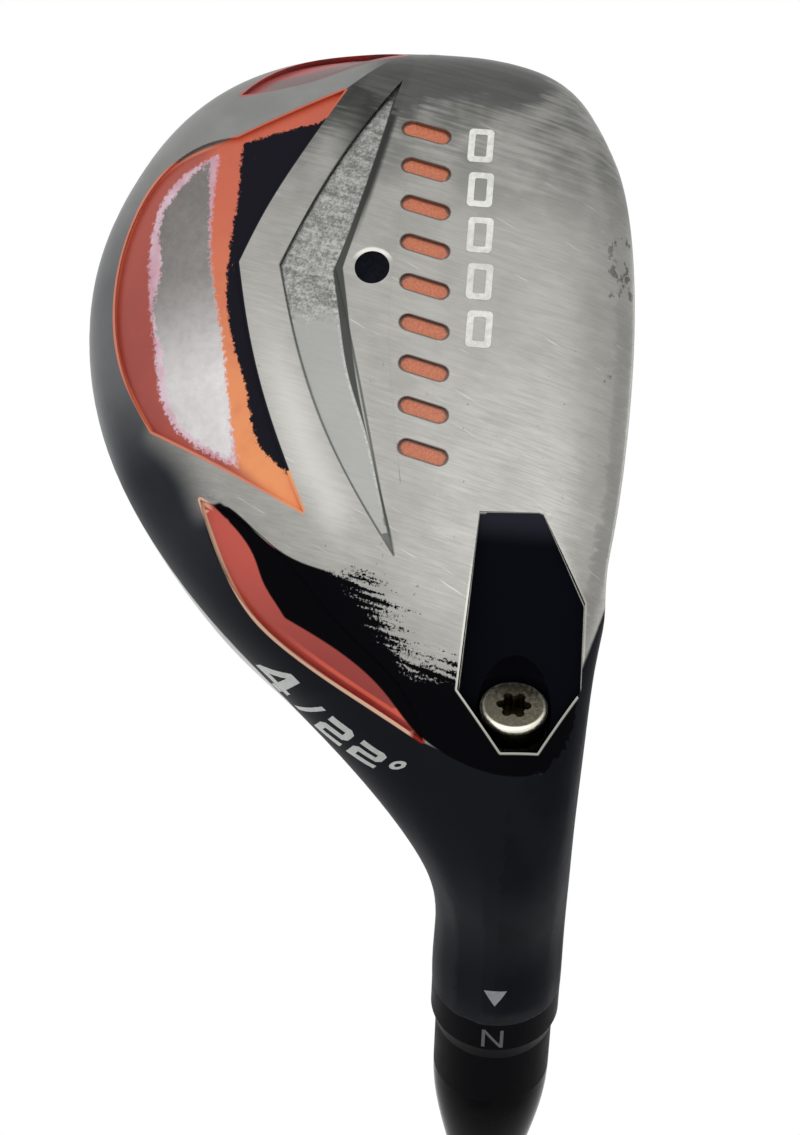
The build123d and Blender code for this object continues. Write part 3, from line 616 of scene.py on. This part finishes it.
back = edge(inside["back_panel"], -0.3, -0.18)
heel = edge(inside["heel_panel"], -0.3, -0.18)
toe = edge(inside["toe_panel"], -0.5, -0.3)
inner = edge(inside["inner_side"], -1.0, 1.0)
# The inner orange band lightens towards the heel: a painted highlight.
red_side, lit_orange_side = mix(edge(x, 60, 30), "a94d40", "9c4035"), mix(edge(x, 55, 18), "c96044", "ee9559")
orange = mix(inner, red_side, lit_orange_side)
orange = mix(product(edge(clouds, 0.4, 0.65), 0.35), orange, "b84f3c")
# Painted highlight: a thin light line along the panel's outer rim.
back_rim_highlight = product(band(inside["back_panel"], (-0.3, -0.2), (0.35, 0.1)), inverse(inner))
orange = mix(product(back_rim_highlight, 0.75), orange, "e08a6c")
halo = edge(frayed("halo", torn, 2.2), -0.1, 0.3)
island = edge(frayed("island", torn, 2.4), -0.35, 0.0)
soft = edge(total(product(ragged, 0.5), product(clouds, 0.5)), 0.35, 0.65)
# The bare island lightens towards the heel: a painted highlight.
island_steel_lit_to_heel = mix(edge(x, 44, 28), mix(soft, "8d8986", "9c9895"), mix(soft, "dad6d6", "e9e6e6"))
panel = mix(halo, orange, mix(edge(clouds, 0.35, 0.6), "c99aa8", "dcc3ce"))
panel = mix(island, panel, island_steel_lit_to_heel)
enamel = edge(frayed("back_enamel", torn, 1.8), -0.1, 0.1)
enamel = product(enamel, edge(noise(place, 0.9, 5, 0.75), 0.72, 0.68))
panel = mix(enamel, panel, "1e1d25")
base = mix(back, base, panel)

heel_red = mix(edge(x, 12, -4), "c04a3b", "8e241b")
# Painted highlight: a light line just inside the heel panel's edge, at its hosel end.
heel_rim_highlight = product(band(inside["heel_panel"], (0.75, 0.9), (1.3, 1.1)), edge(x, 4, -2))
heel_red = mix(product(heel_rim_highlight, 0.8), heel_red, "e0583c")
base = mix(heel, base, heel_red)
fading = product(edge(inside["panel_heel_side"], -2.6, -0.8), band(x, (-5, -2), (13, 8)),
                 band(y, (-23, -17), (-4, -6)))
speckle = product(calc("SUBTRACT", total(streaks, product(grit, 0.8)), 0.78), fading, 11.0)
enamel_depth = total(inside["heel_enamel"], speckle, product(edge(y, -22, -10), 0.25))
heel_black = edge(enamel_depth, -0.1, blend(fading, 0.1, 1.2))
base = mix(heel_black, base, "08080c")
# Painted highlight: a cream line along the heel panel's outer edge near the skirt.
heel_edge_highlight = product(band(inside["heel_panel"], (-0.3, -0.2), (0.3, 0.1)), edge(inside["sole"], 1.2, 0.6),
                edge(y, -10.8, -11.6))
base = mix(heel_edge_highlight, base, "ddb49b")
base = mix(toe, base, mix(edge(clouds, 0.3, 0.7), "c35a55", "a95a58"))
rubbed = product(toe, edge(inside["toe_inner"], 1.9, 1.3), band(y, (-36, -33), (-20, -23)))
base = mix(product(rubbed, 0.85), base, "6f6c6b")

bars = edge(inside["bars"], -0.06, 0.06)
# Painted shade: a dark line round the edges of the slots.
bar_edge_shade = band(inside["bars"], (-0.2, -0.05), (0.28, 0.1))
base = mix(bars, base, mix(edge(grit, 0.3, 0.7), "bb6244", "cf7b52"))
base = mix(product(bar_edge_shade, 0.8), base, "4b3a33")
# Painted highlight: a bright crescent on one side of the port's rim.
port_highlight = product(edge(inside["port"], -0.65, -0.35), edge(x, PORT_PLACE[0] + 0.6, PORT_PLACE[0] + 2.0))
base = mix(port_highlight, base, "e6e4dc")

# The recess is black enamel; on its walls the black is painted shade.
wall = stored("recess_wall")
recess = largest(edge(inside["recess"], 0.0, 0.12), wall)
base = mix(recess, base, mix(edge(x, 12.5, 15.5), "0a0b12", "26272f"))
# Its rim on the heel side is bare steel with a painted highlight.
recess_rim_highlight = product(band(inside["recess"], (-0.3, -0.14), (0.14, 0.02)), edge(x, 12, 6), inverse(wall))
base = mix(recess_rim_highlight, base, "c8c7bd")

face_side = stored("on_face")
off_face = inverse(face_side)
heel_side = product(stored("heel_front"), edge(z, 4.7, 5.2))
crown_side = product(edge(z, CROWN_LINE - 0.15, CROWN_LINE + 0.15), edge(x, -7, -2), off_face)
base = mix(face_side, base, mix(edge(grit, 0.35, 0.65), "868683", "9a9a97"))
base = mix(heel_side, base, mix(edge(clouds, 0.3, 0.7), "1b1c21", "15161a"))
base = mix(crown_side, base, "101116")

from_below = product(off_face, inverse(heel_side))
painted = largest(product(back, inverse(island)), heel, heel_black, grey_toe, toe, bars, recess, crown_side)
painted = product(painted, inverse(recess_rim_highlight), largest(from_below, crown_side))
gloss = product(largest(recess, heel_black, product(back, enamel)), from_below)
skirt = largest(skirt, heel_side)
roughness = blend(edge(lines, 0.3, 0.7), 0.4, 0.32)
roughness = blend(largest(skirt, blasted), roughness, 0.46)
roughness = blend(painted, roughness, 0.4)
roughness = blend(largest(gloss, crown_side), roughness, 0.22)
satin = product(skirt, blend(edge(x, 32, 16), 0.45, 0.95), off_face)
metal = inverse(largest(painted, satin))
brushed = product(calc("SUBTRACT", lines, 0.5), metal, inverse(skirt), 0.005)
uneven = calc("SUBTRACT", ragged, 0.5)
relief = total(brushed, product(uneven, blasted, 0.08), product(uneven, painted, 0.02))
black = largest(gloss, product(skirt, edge(x, 40, 20)))
mirror = blend(crown_side, blend(black, 0.5, FAINT_MIRROR), CROWN_MIRROR)
shade(Base_Color=dulled(metal, base), Metallic=metal, Roughness=roughness, Specular_IOR_Level=mirror,
      Normal=bump(relief, 1.0))
wear(head_skin, head_finish)
print("head finish:", len(net.nodes), "nodes")

# %% [markdown]
# ## Crown and face
# The crown is sprayed black with a little fine flake, flatted and lacquered, so it mirrors the room. Its finish is
# the one that the head's rim above the skirt has, so the seam between them hardly shows.
# The face is milled: a cutter leaves shallow arcs that read as fine lines, and the score lines are cut after them.
# Balls and turf polish it most in the middle.

# %% Crown and face finishes
LEADING_EDGE, FACE_MIDDLE = (0, 10.9, 3.0), (35, 4, 17)
GROOVE_COUNT, GROOVE_FIRST, GROOVE_PITCH = 8, 4.5, 3.1
GROOVE_MID_X, GROOVE_HALF = 37.0, 21.0

crown_finish = new_material("crown_lacquer")
place = millimetres()
flake = noise(place, 9.0, 2, 0.6)
haze = noise(place, 0.12, 3, 0.5)
base = mix(edge(flake, 0.66, 0.8, 0, 0.7), "101116", "34363f")
fine_scratch = noise(millimetres((0.2, 6, 1), math.radians(25)), 1.0, 2, 0.5)
base = mix(edge(fine_scratch, 0.7, 0.76, 0, 0.25), base, "55565c")
gloss = blend(edge(haze, 0.4, 0.7), 0.18, 0.26)
shade(Base_Color=base, Metallic=0.0, Roughness=gloss, Specular_IOR_Level=CROWN_MIRROR,
      Normal=bump(flake, 0.004))
wear(nodes["crown"], crown_finish)

face_finish = new_material("milled_face")
place = millimetres()
x = put("SeparateXYZ", {0: place}).outputs[0]
milling = noise(millimetres((0.05, 5, 5)), 1.0, 2, 0.5)
grit = noise(place, 3.0, 3, 0.6)
base = mix(edge(milling, 0.35, 0.65), "83827e", "a5a4a0")
polish = patch(place, FACE_MIDDLE, 19, 7)
base = mix(product(polish, 0.55), base, "bdbcb7")
base = mix(edge(noise(place, 0.5, 4, 0.7), 0.62, 0.72, 0, 0.3), base, "5d5c58")
up_slope = vector("DOT_PRODUCT", vector("SUBTRACT", place, LEADING_EDGE), (0, -math.sin(LOFT), math.cos(LOFT)))
from_first = calc("SUBTRACT", up_slope, GROOVE_FIRST - GROOVE_PITCH / 2)
from_line = calc("FLOORED_MODULO", from_first, GROOVE_PITCH)
beside_line = calc("ABSOLUTE", calc("SUBTRACT", from_line, GROOVE_PITCH / 2))
from_middle = calc("ABSOLUTE", calc("SUBTRACT", x, GROOVE_MID_X))
last_line = GROOVE_FIRST + (GROOVE_COUNT - 0.5) * GROOVE_PITCH
# The score lines are painted dark, for dirt and painted shade in them.
groove_dirt_and_shade = product(edge(beside_line, 0.42, 0.36), edge(from_middle, GROOVE_HALF, GROOVE_HALF - 0.2),
                  edge(up_slope, last_line + 0.1, last_line))
base = mix(product(groove_dirt_and_shade, 0.85), base, "2b2a27")
roughness = blend(polish, 0.46, 0.34)
height = total(product(milling, 0.02), product(grit, 0.008))
shade(Base_Color=dulled(1.0, base), Metallic=1.0, Roughness=roughness, Normal=bump(height, 1.0))
wear(nodes["face_panel"], face_finish)
print("crown and face finished")

# %% [markdown]
# ## Bolt, washer, retainer and the parts in the head
# The bolt is turned steel with a dulled, warm oxide. Its socket is darkened for dirt and painted shade, its rounded
# rim has a painted highlight, and the side of its head is painted dark as the shade of the bore.
# How far a point lies along the bolt's own axis tells those three apart. Pieces inside the head, such as the glue
# and the weight, are finished too, because they show when the head is cut open or taken apart.

# %% Bolt and inner finishes
BOLT_FACE = 8.5


def along_axis():
    """Height along the shaft's axis in mm."""
    return vector("DOT_PRODUCT", millimetres(), UP_SHAFT)


def off_axis():
    """Distance from the shaft's axis in mm."""
    return vector("LENGTH", vector("CROSS_PRODUCT", millimetres(), UP_SHAFT))


bolt_finish = new_material("worn_bolt_steel_and_painted_light")
place = millimetres()
along, off = calc("SUBTRACT", along_axis(), BOLT_FACE), off_axis()
grit = noise(place, 2.6, 4, 0.65)
base = mix(edge(grit, 0.35, 0.7), "6d6859", "868070")
# Painted highlight: the outer rim of the bolt's face is painted bright.
base = mix(product(edge(off, 3.25, 3.5), edge(along, 0.75, 0.45)), base, "e6e2d2")
# The socket is painted darker, for dirt and painted shade.
base = mix(product(edge(along, 0.3, 1.1), edge(off, 2.2, 2.0)), base, "3a3322")
# Painted shade: the side of the head and the depth of the socket are painted dark.
base = mix(edge(along, 0.7, 1.0), base, mix(edge(off, 2.2, 2.3), "3a3322", "2c2a26"))
roughness = blend(edge(grit, 0.4, 0.7), 0.3, 0.5)
shade(Base_Color=base, Metallic=1.0, Roughness=roughness, Normal=bump(grit, 0.02))
wear(nodes["hosel_bolt"], bolt_finish)

PLAIN = {
    "bolt_washer": ("turned_washer", "8f8b80", "a9a599", 1.0, 0.35, 2.5, 0.01),
    "bolt_retainer": ("moulded_nylon", "d8d5c8", "e4e1d6", 0.0, 0.45, 1.2, 0.02),
    "port_plug": ("port_rubber", "0b0c12", "17181f", 0.0, 0.5, 1.8, 0.03),
    "sole_weight": ("sintered_tungsten", "4b4c50", "606166", 1.0, 0.55, 1.6, 0.05),
    "damping_gel": ("hot_melt_glue", "b9a468", "cdb980", 0.0, 0.3, 0.25, 0.15),
    "shaft_sleeve": ("black_anodised_sleeve", "060608", "0d0d11", 0.0, 0.44, 2.2, 0.006),
    "setting_ring": ("satin_black_ring", "050507", "0b0b0e", 0.0, 0.46, 3.0, 0.01),
    "ferrule": ("gloss_black_ferrule", "030305", "08080b", 0.0, 0.2, 1.0, 0.004),
    "tip_weight": ("turned_brass", "b3924a", "cbaa62", 1.0, 0.28, 1.5, 0.01),
    "grip_tape": ("masking_tape", "cfc8ad", "ded8c2", 0.0, 0.75, 0.9, 0.08),
    "grip_cap": ("moulded_cap_rubber", "1b1b1d", "262628", 0.0, 0.7, 2.0, 0.04),
}


def cloudy_finish(name, dark, light, metal, rough, bumps_per_mm, depth_mm):
    """One material colour that drifts between two close shades, with a matching roughness and relief.

    Very dark plastics and anodising mirror little, so the darkest ones get a low specular level.
    """
    material = new_material(name)
    place = millimetres()
    fine = noise(place, bumps_per_mm, 4, 0.6)
    wide = noise(place, bumps_per_mm / 9, 3, 0.5)
    both = total(product(fine, 0.6), product(wide, 0.4))
    tint = mix(edge(both, 0.35, 0.65), dark, light)
    shine = blend(edge(both, 0.3, 0.7), rough * 0.85, rough * 1.15)
    mirror = FAINT_MIRROR if dark.startswith("0") else 0.5
    shade(Base_Color=tint, Metallic=metal, Roughness=shine, Specular_IOR_Level=mirror,
          Normal=bump(fine, depth_mm))
    return material


for node, facts in PLAIN.items():
    wear(nodes[node], cloudy_finish(*facts))
print("finished:", ", ".join(PLAIN))

# %% [markdown]
# ## Shaft
# The shaft is carbon fibre, ground, painted a very dark grey and lacquered. Under the lacquer the wrapped fibre
# shows as faint bands across the tube.
# Near the grip it has two thin rings in the head's orange, as plain trim.

# %% Shaft finish
RING_STARTS, RING_WIDTH = (690.0, 700.0), 2.2

shaft_finish = new_material("lacquered_carbon")
along = along_axis()
weave = noise(put("CombineXYZ", {0: along}).outputs[0], 1.4, 3, 0.7)
fibre = noise(millimetres((0.3, 5, 0.3)), 1.0, 2, 0.5)
base = mix(edge(weave, 0.35, 0.65), "14151a", "22242b")
base = mix(edge(fibre, 0.55, 0.75, 0, 0.5), base, "31333b")
for start in RING_STARTS:
    end = start + RING_WIDTH
    base = mix(band(along, (start, start + 0.2), (end, end - 0.2)), base, "c65c3f")
shade(Base_Color=base, Metallic=0.0, Roughness=blend(edge(weave, 0.3, 0.7), 0.2, 0.28),
      Normal=bump(fibre, 0.004))
wear(nodes["shaft"], shaft_finish)
print("shaft finished")

# %% [markdown]
# ## Grip
# A rubber grip is moulded in one piece, with rows of small raised diamonds so that it doesn't twist in wet hands,
# and a plain band at its mouth and butt.
# We turn its profile about the shaft's axis with a full spin, then push the points in and out by the pattern. A
# real relief catches light at its edges as a bump map can't.

# %% Grip
GRIP_LINE = [(8.47, 745), (9.37, 834.4), (10.97, 926.8), (12.92, 1006)]
GRIP_MOUTH, GRIP_BUTT = [(7.0, 742.0), (8.1, 742.0), (8.47, 742.4)], (7.85, 1006.0)
ROWS_A_SPAN, AROUND = 150, 132
DIAMONDS, DIAMOND_LENGTH, DIAMOND_DEPTH = 26, 6.4, 0.4
PATTERN, FADE, PATTERN_RADIUS = (754.0, 988.0), 3.0, 8.2

profile = [*GRIP_MOUTH, *map(tuple, smooth_run(GRIP_LINE, ROWS_A_SPAN)), GRIP_BUTT]
work = bmesh.new()
rim_points = [work.verts.new(on_axis(h, r)) for r, h in profile]
chain = [work.edges.new(pair) for pair in zip(rim_points, rim_points[1:])]
bmesh.ops.spin(work, geom=rim_points + chain, cent=(0, 0, 0), axis=UP_SHAFT, angle=2 * math.pi, steps=AROUND,
               use_merge=True)
bmesh.ops.recalc_face_normals(work, faces=work.faces)
raised = {}
for v in work.verts:
    along = v.co.dot(UP_SHAFT) / MM
    out = v.co - UP_SHAFT * along * MM
    share = math.atan2(out.dot(UNDER_SIDE), out.dot(TARGET_WAY)) / (2 * math.pi) * DIAMONDS
    ring = along / DIAMOND_LENGTH
    lattice = abs(math.sin(math.pi * (share + ring))) * abs(math.sin(math.pi * (share - ring)))
    fade = min(1.0, max(0.0, along - PATTERN[0]) / FADE, max(0.0, PATTERN[1] - along) / FADE)
    height = (min(1.0, lattice * 2.2) - 1.0) * fade if out.length > PATTERN_RADIUS * MM else 0.0
    raised[v.index] = height
    v.co += out.normalized() * height * DIAMOND_DEPTH * MM
mesh = bpy.data.meshes.new("grip_moulding")
work.verts.index_update()
levels = [raised.get(v.index, 0.0) for v in work.verts]
work.to_mesh(mesh)
work.free()
store(mesh, "raised", levels)
mesh.shade_smooth()
grip_piece = add("grip_moulding", mesh)
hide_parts("grip")
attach(grip_piece, "club_shaft")

grip_finish = new_material("moulded_grip_rubber")
grit = noise(millimetres(), 3.5, 4, 0.65)
wide = noise(millimetres(), 0.05, 3, 0.5)
# Painted shade: the rubber is darker down between the diamonds.
base = mix(edge(stored("raised"), -0.9, -0.1), "111113", "232426")
base = mix(edge(wide, 0.4, 0.65, 0, 0.4), base, "303133")
shade(Base_Color=base, Metallic=0.0, Roughness=blend(edge(wide, 0.4, 0.7), 0.75, 0.58),
      Normal=bump(grit, 0.05))
wear(grip_piece, grip_finish)
print("grip:", len(mesh.polygons), "faces, pattern from", PATTERN[0], "to", PATTERN[1], "mm along the shaft")

# %% [markdown]
# ## Printed marks
# Club heads carry pad-printed marks: the club's number and loft on the skirt, a pointer on the hosel, and the
# letter of the loft setting under it. On the sole a row of plain outlined boxes fills the band beside the slots.
# Each mark is drawn flat as a filled 2D curve, which handles holes such as the one in a 4, then cut finely and
# draped over the surface a few hundredths of a millimetre proud, as thick as the ink.

# %% Marks
INK_LIFT = 0.03
FINEST_CUT, MARK_ROUNDS = 0.6, 6
CORNER_STEPS = 4


def filled(loops):
    """Mesh of flat loops of (u, v) points, with holes where loops lie inside others."""
    curve = bpy.data.curves.new("mark", "CURVE")
    curve.dimensions = "2D"
    curve.fill_mode = "BOTH"
    for loop in loops:
        spline = curve.splines.new("POLY")
        spline.points.add(len(loop) - 1)
        for point, (u, v) in zip(spline.points, loop):
            point.co = (u, v, 0, 1)
        spline.use_cyclic_u = True
    holder = add("mark", curve)
    mesh = bpy.data.meshes.new_from_object(holder.evaluated_get(bpy.context.evaluated_depsgraph_get()))
    bpy.data.objects.remove(holder)
    return mesh


def drape(name, loops, lay, cut, body, material):
    """Makes one mark: lay turns flat (u, v) into a point and normal on the surface, cut is the longest flat edge."""
    mesh = filled(loops)
    work = bmesh.new()
    work.from_mesh(mesh)
    cut_long(work, cut, MARK_ROUNDS)
    outward = Vector()
    for v in work.verts:
        at, normal = lay(v.co.x, v.co.y)
        v.co = at + normal * INK_LIFT * MM
        outward += normal
    bmesh.ops.recalc_face_normals(work, faces=work.faces)
    if sum((f.normal for f in work.faces), Vector()).dot(outward) < 0:
        bmesh.ops.reverse_faces(work, faces=work.faces)
    work.to_mesh(mesh)
    work.free()
    mesh.name = name
    mesh.shade_smooth()
    piece = add(name, mesh)
    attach(piece, body)
    wear(piece, material)
    print("mark:", name, "with", len(mesh.polygons), "faces")


def box_loop(u, v, half_u, half_v, corner):
    """Rectangle with rounded corners."""
    loop = []
    for turn, (su, sv) in enumerate([(1, 1), (-1, 1), (-1, -1), (1, -1)]):
        for step in range(CORNER_STEPS + 1):
            a = (turn + step / CORNER_STEPS) * math.pi / 2
            loop.append((u + su * (half_u - corner) + corner * math.cos(a),
                         v + sv * (half_v - corner) + corner * math.sin(a)))
    return loop


def under_sole(u, v):
    """Point on the sole above (x, y) in mm, as seen from below, and its normal."""
    at, normal, _, _ = skin_tree.ray_cast(Vector((u, v, -20)) * MM, Vector((0, 0, 1)))
    return at, normal


def round_shaft(radius, height, turn, tree=None):
    """Lays (u, v) in mm round the shaft's axis, with v down the axis, on a cylinder or on the skin in a tree."""
    def lay(u, v):
        a = turn - u / radius
        foot, at = on_axis(height - v), on_axis(height - v, radius, a)
        if tree:
            at = tree.ray_cast(foot + (at - foot) * 1.5, foot - at)[0]
        return at, (at - foot).normalized()
    return lay


# The pointer is printed in a mid grey that stands for light ink in shade: painted shade.
white_ink, grey_ink, shaded_pointer_ink, dim_ink = (
    cloudy_finish(name, dark, light, 0.0, rough, 1.5, 0.01) for name, dark, light, rough in (
        ("white_ink", "cfcfc9", "efefe9", 0.45), ("grey_ink", "a9aba9", "bfc1be", 0.45),
        ("shaded_pointer_ink", "7d7f82", "909295", 0.5), ("dim_ink", "2b2c2e", "393a3c", 0.45)))

BOX_COUNT, BOX_PITCH, BOX_FIRST, BOX_RUN = 5, 5.75, (60.2, -8.6), 0.067
BOX_HALF, BOX_STROKE = (2.2, 1.45), 0.75
boxes = []
for i in range(BOX_COUNT):
    u, v = BOX_FIRST[0] - i * BOX_PITCH, BOX_FIRST[1] + i * BOX_PITCH * BOX_RUN
    boxes.append(box_loop(u, v, *BOX_HALF, 0.5))
    boxes.append(box_loop(u, v, BOX_HALF[0] - BOX_STROKE, BOX_HALF[1] - BOX_STROKE, 0.2))
drape("sole_boxes", boxes, under_sole, FINEST_CUT, "head", white_ink)

TWO = [(0.08, 0.78), (0.08, 1.0), (0.84, 1.0), (1.0, 0.88), (1.0, 0.55), (0.86, 0.42), (0.24, 0.42), (0.24, 0.22),
       (0.98, 0.22), (0.98, 0.0), (0.0, 0.0), (0.0, 0.5), (0.14, 0.62), (0.76, 0.62), (0.76, 0.78)]
FOUR = [(0.55, 1.0), (0.86, 1.0), (0.86, 0.42), (1.0, 0.42), (1.0, 0.22), (0.86, 0.22), (0.86, 0.0), (0.6, 0.0),
        (0.6, 0.22), (0.0, 0.22), (0.0, 0.42)]
FOUR_HOLE = [(0.6, 0.42), (0.3, 0.42), (0.6, 0.78)]
SLASH = [(0.0, -0.05), (0.3, -0.05), (1.0, 1.05), (0.7, 1.05)]
DEGREE = box_loop(0.5, 0.5, 0.5, 0.5, 0.5)
DEGREE_HOLE = box_loop(0.5, 0.5, 0.2, 0.2, 0.2)
NUMBER_LOW = smooth_run([
    (1.2, -30.6, 19.5), (-2.9, -25.9, 18.2), (-6.2, -22.0, 16.8), (-9.0, -18.5, 14.7), (-11.3, -15.2, 12.9),
    (-12.4, -12.1, 11.0)])
NUMBER_HIGH = smooth_run([
    (1.0, -27.3, 12.4), (-2.7, -24.0, 11.5), (-5.5, -21.0, 11.3), (-8.0, -17.5, 10.5), (-10.3, -13.8, 9.9),
    (-11.1, -11.2, 9.2)])
SLANT, NUMBER_CUT = 0.03, 0.06


def along_run(run, share):
    """Point at a share of a run's length."""
    steps = np.concatenate([[0], np.cumsum(np.linalg.norm(np.diff(run, axis=0), axis=1))])
    return Vector([np.interp(share * steps[-1], steps, run[:, i]) for i in range(3)])


def on_skirt(u, v):
    """Lays the number between two lines on the skirt: u runs along it from 0 to 1 and v across it."""
    at = along_run(NUMBER_LOW, u).lerp(along_run(NUMBER_HIGH, u), v)
    place, normal, _, _ = skin_tree.find_nearest(at * MM)
    return place, normal


number = []
for start, width, loops, low_v, high_v in (
        (0.0, 0.23, (FOUR, FOUR_HOLE), 0, 1), (0.30, 0.11, (SLASH,), 0.12, 0.95), (0.445, 0.19, (TWO,), 0, 1),
        (0.675, 0.18, (TWO,), 0, 1), (0.905, 0.08, (DEGREE, DEGREE_HOLE), 0.35, 0.95)):
    for loop in loops:
        number.append([(start + u * width + SLANT * v, low_v + (high_v - low_v) * v) for u, v in loop])
drape("loft_number", number, on_skirt, NUMBER_CUT, "head", grey_ink)

MARK_RADIUS, MARK_TURN = 7.75, math.radians(89)
POINTER_HEIGHT, LETTER_HEIGHT = 50.2, 58.3
POINTER = [(-1.35, 1.0), (0, -1.1), (1.35, 1.0)]
NEUTRAL = [(-1.3, -1.6), (-1.3, 1.6), (-0.9, 1.6), (0.9, -0.95), (0.9, 1.6), (1.3, 1.6), (1.3, -1.6), (0.9, -1.6),
           (-0.9, 0.95), (-0.9, -1.6)]
drape("hosel_pointer", [POINTER], round_shaft(MARK_RADIUS, POINTER_HEIGHT, MARK_TURN, skin_tree), FINEST_CUT,
      "head", shaded_pointer_ink)
drape("setting_letter", [NEUTRAL], round_shaft(MARK_RADIUS, LETTER_HEIGHT, MARK_TURN), FINEST_CUT,
      "club_shaft", dim_ink)

# %% [markdown]
# ## The camera, the lamps and the floor
# The club is seen from below its sole, as when it is turned over in the hand, so the camera looks up through the
# ground. The floor therefore shows from above only.
# The club is held by its grip, and the floor lies 38 mm below the sole, which leaves room for the head when it is
# pulled off the sleeve.
# A long lens far away keeps the head's sides almost parallel. Soft lamps stand below for the sole and above for
# every other view. The world is white to the camera and in reflections, and lights the club at half that strength.

# %% Camera
TILT, TURN, ROLL = math.radians(15.5), math.radians(-2.4), math.radians(4.2)
DISTANCE, LENS = 400.0, 114.19
LOOK_AT = Vector((8.6, -13.7, 0))


def turned(a, b, angle):
    """Two directions at right angles, turned in their plane from a towards b."""
    return a * math.cos(angle) + b * math.sin(angle), b * math.cos(angle) - a * math.sin(angle)


ahead = Vector((math.sin(TILT), 0, math.cos(TILT)))
up = Vector((math.cos(TILT), 0, -math.sin(TILT)))
right = Vector((0, 1, 0))
ahead, right = turned(ahead, right, TURN)
right, up = turned(right, up, ROLL)
camera = add("camera", bpy.data.cameras.new("camera"))
camera.matrix_world = Matrix((right, up, -ahead)).transposed().to_4x4()
camera.location = (LOOK_AT - ahead * DISTANCE) * MM
camera.data.lens = LENS
camera.data.clip_start = 0.01
bpy.context.scene.camera = camera
print("camera at", [round(v / MM, 1) for v in camera.location], "mm")

# %% Lamps
HEAD = (0.03, -0.015, 0.01)


def lamp(name, where, at, size, watts):
    """Square soft lamp that faces a point; places are in metres."""
    light = bpy.data.lights.new(name, "AREA")
    light.size = size
    light.energy = watts
    holder = add(name, light)
    holder.location = where
    holder.rotation_mode = "QUATERNION"
    holder.rotation_quaternion = (Vector(at) - Vector(where)).to_track_quat("-Z", "Y")
    holder.visible_camera = False


lamp("sole_soft", (0.25, -0.10, -0.86), HEAD, 1.1, 2.8)
lamp("sole_spot", (0.04, 0.12, -0.86), HEAD, 0.42, 0.9)
lamp("sole_fill", (-0.30, -0.50, -0.60), HEAD, 1.0, 1.0)
lamp("top_lamp", (-0.9, -0.3, 2.4), (-0.2, 0, 0.4), 4.5, 26)
lamp("face_lamp", (0.6, 2.3, 0.9), (0, 0, 0.2), 1.6, 10)

# %% World and floor
SOFT_LIGHT = 0.5
FLOOR_SIZE, FLOOR_DROP = 8, 38.0

world = bpy.data.worlds.new("surroundings")
bpy.context.scene.world = world
world.use_nodes = True
begin(world.node_tree)
path = put("LightPath")
seen = largest(*(path.outputs[kind] for kind in ("Is Camera Ray", "Is Transmission Ray", "Is Glossy Ray")))
background = put("Background", {"Color": (1, 1, 1, 1), "Strength": blend(seen, SOFT_LIGHT, 1.0)})
put("OutputWorld", {"Surface": background.outputs[0]})

bpy.ops.mesh.primitive_plane_add(size=FLOOR_SIZE, location=(0, 0, -FLOOR_DROP * MM))
floor = bpy.context.object
floor.name = "floor"
floor_finish = new_material("pale_floor")
rays = put("LightPath")
above = inverse(put("NewGeometry").outputs["Backfacing"])
shown = product(above, rays.outputs["Is Camera Ray"])
paint = put("BsdfDiffuse", {"Color": linear("f4f4f2")})
clear = put("BsdfTransparent")
mixed = put("MixShader", {0: shown, 1: clear.outputs[0], 2: paint.outputs[0]})
put("OutputMaterial", {"Surface": mixed.outputs[0]})
wear(floor, floor_finish)
bpy.context.scene.view_settings.view_transform = "Standard"
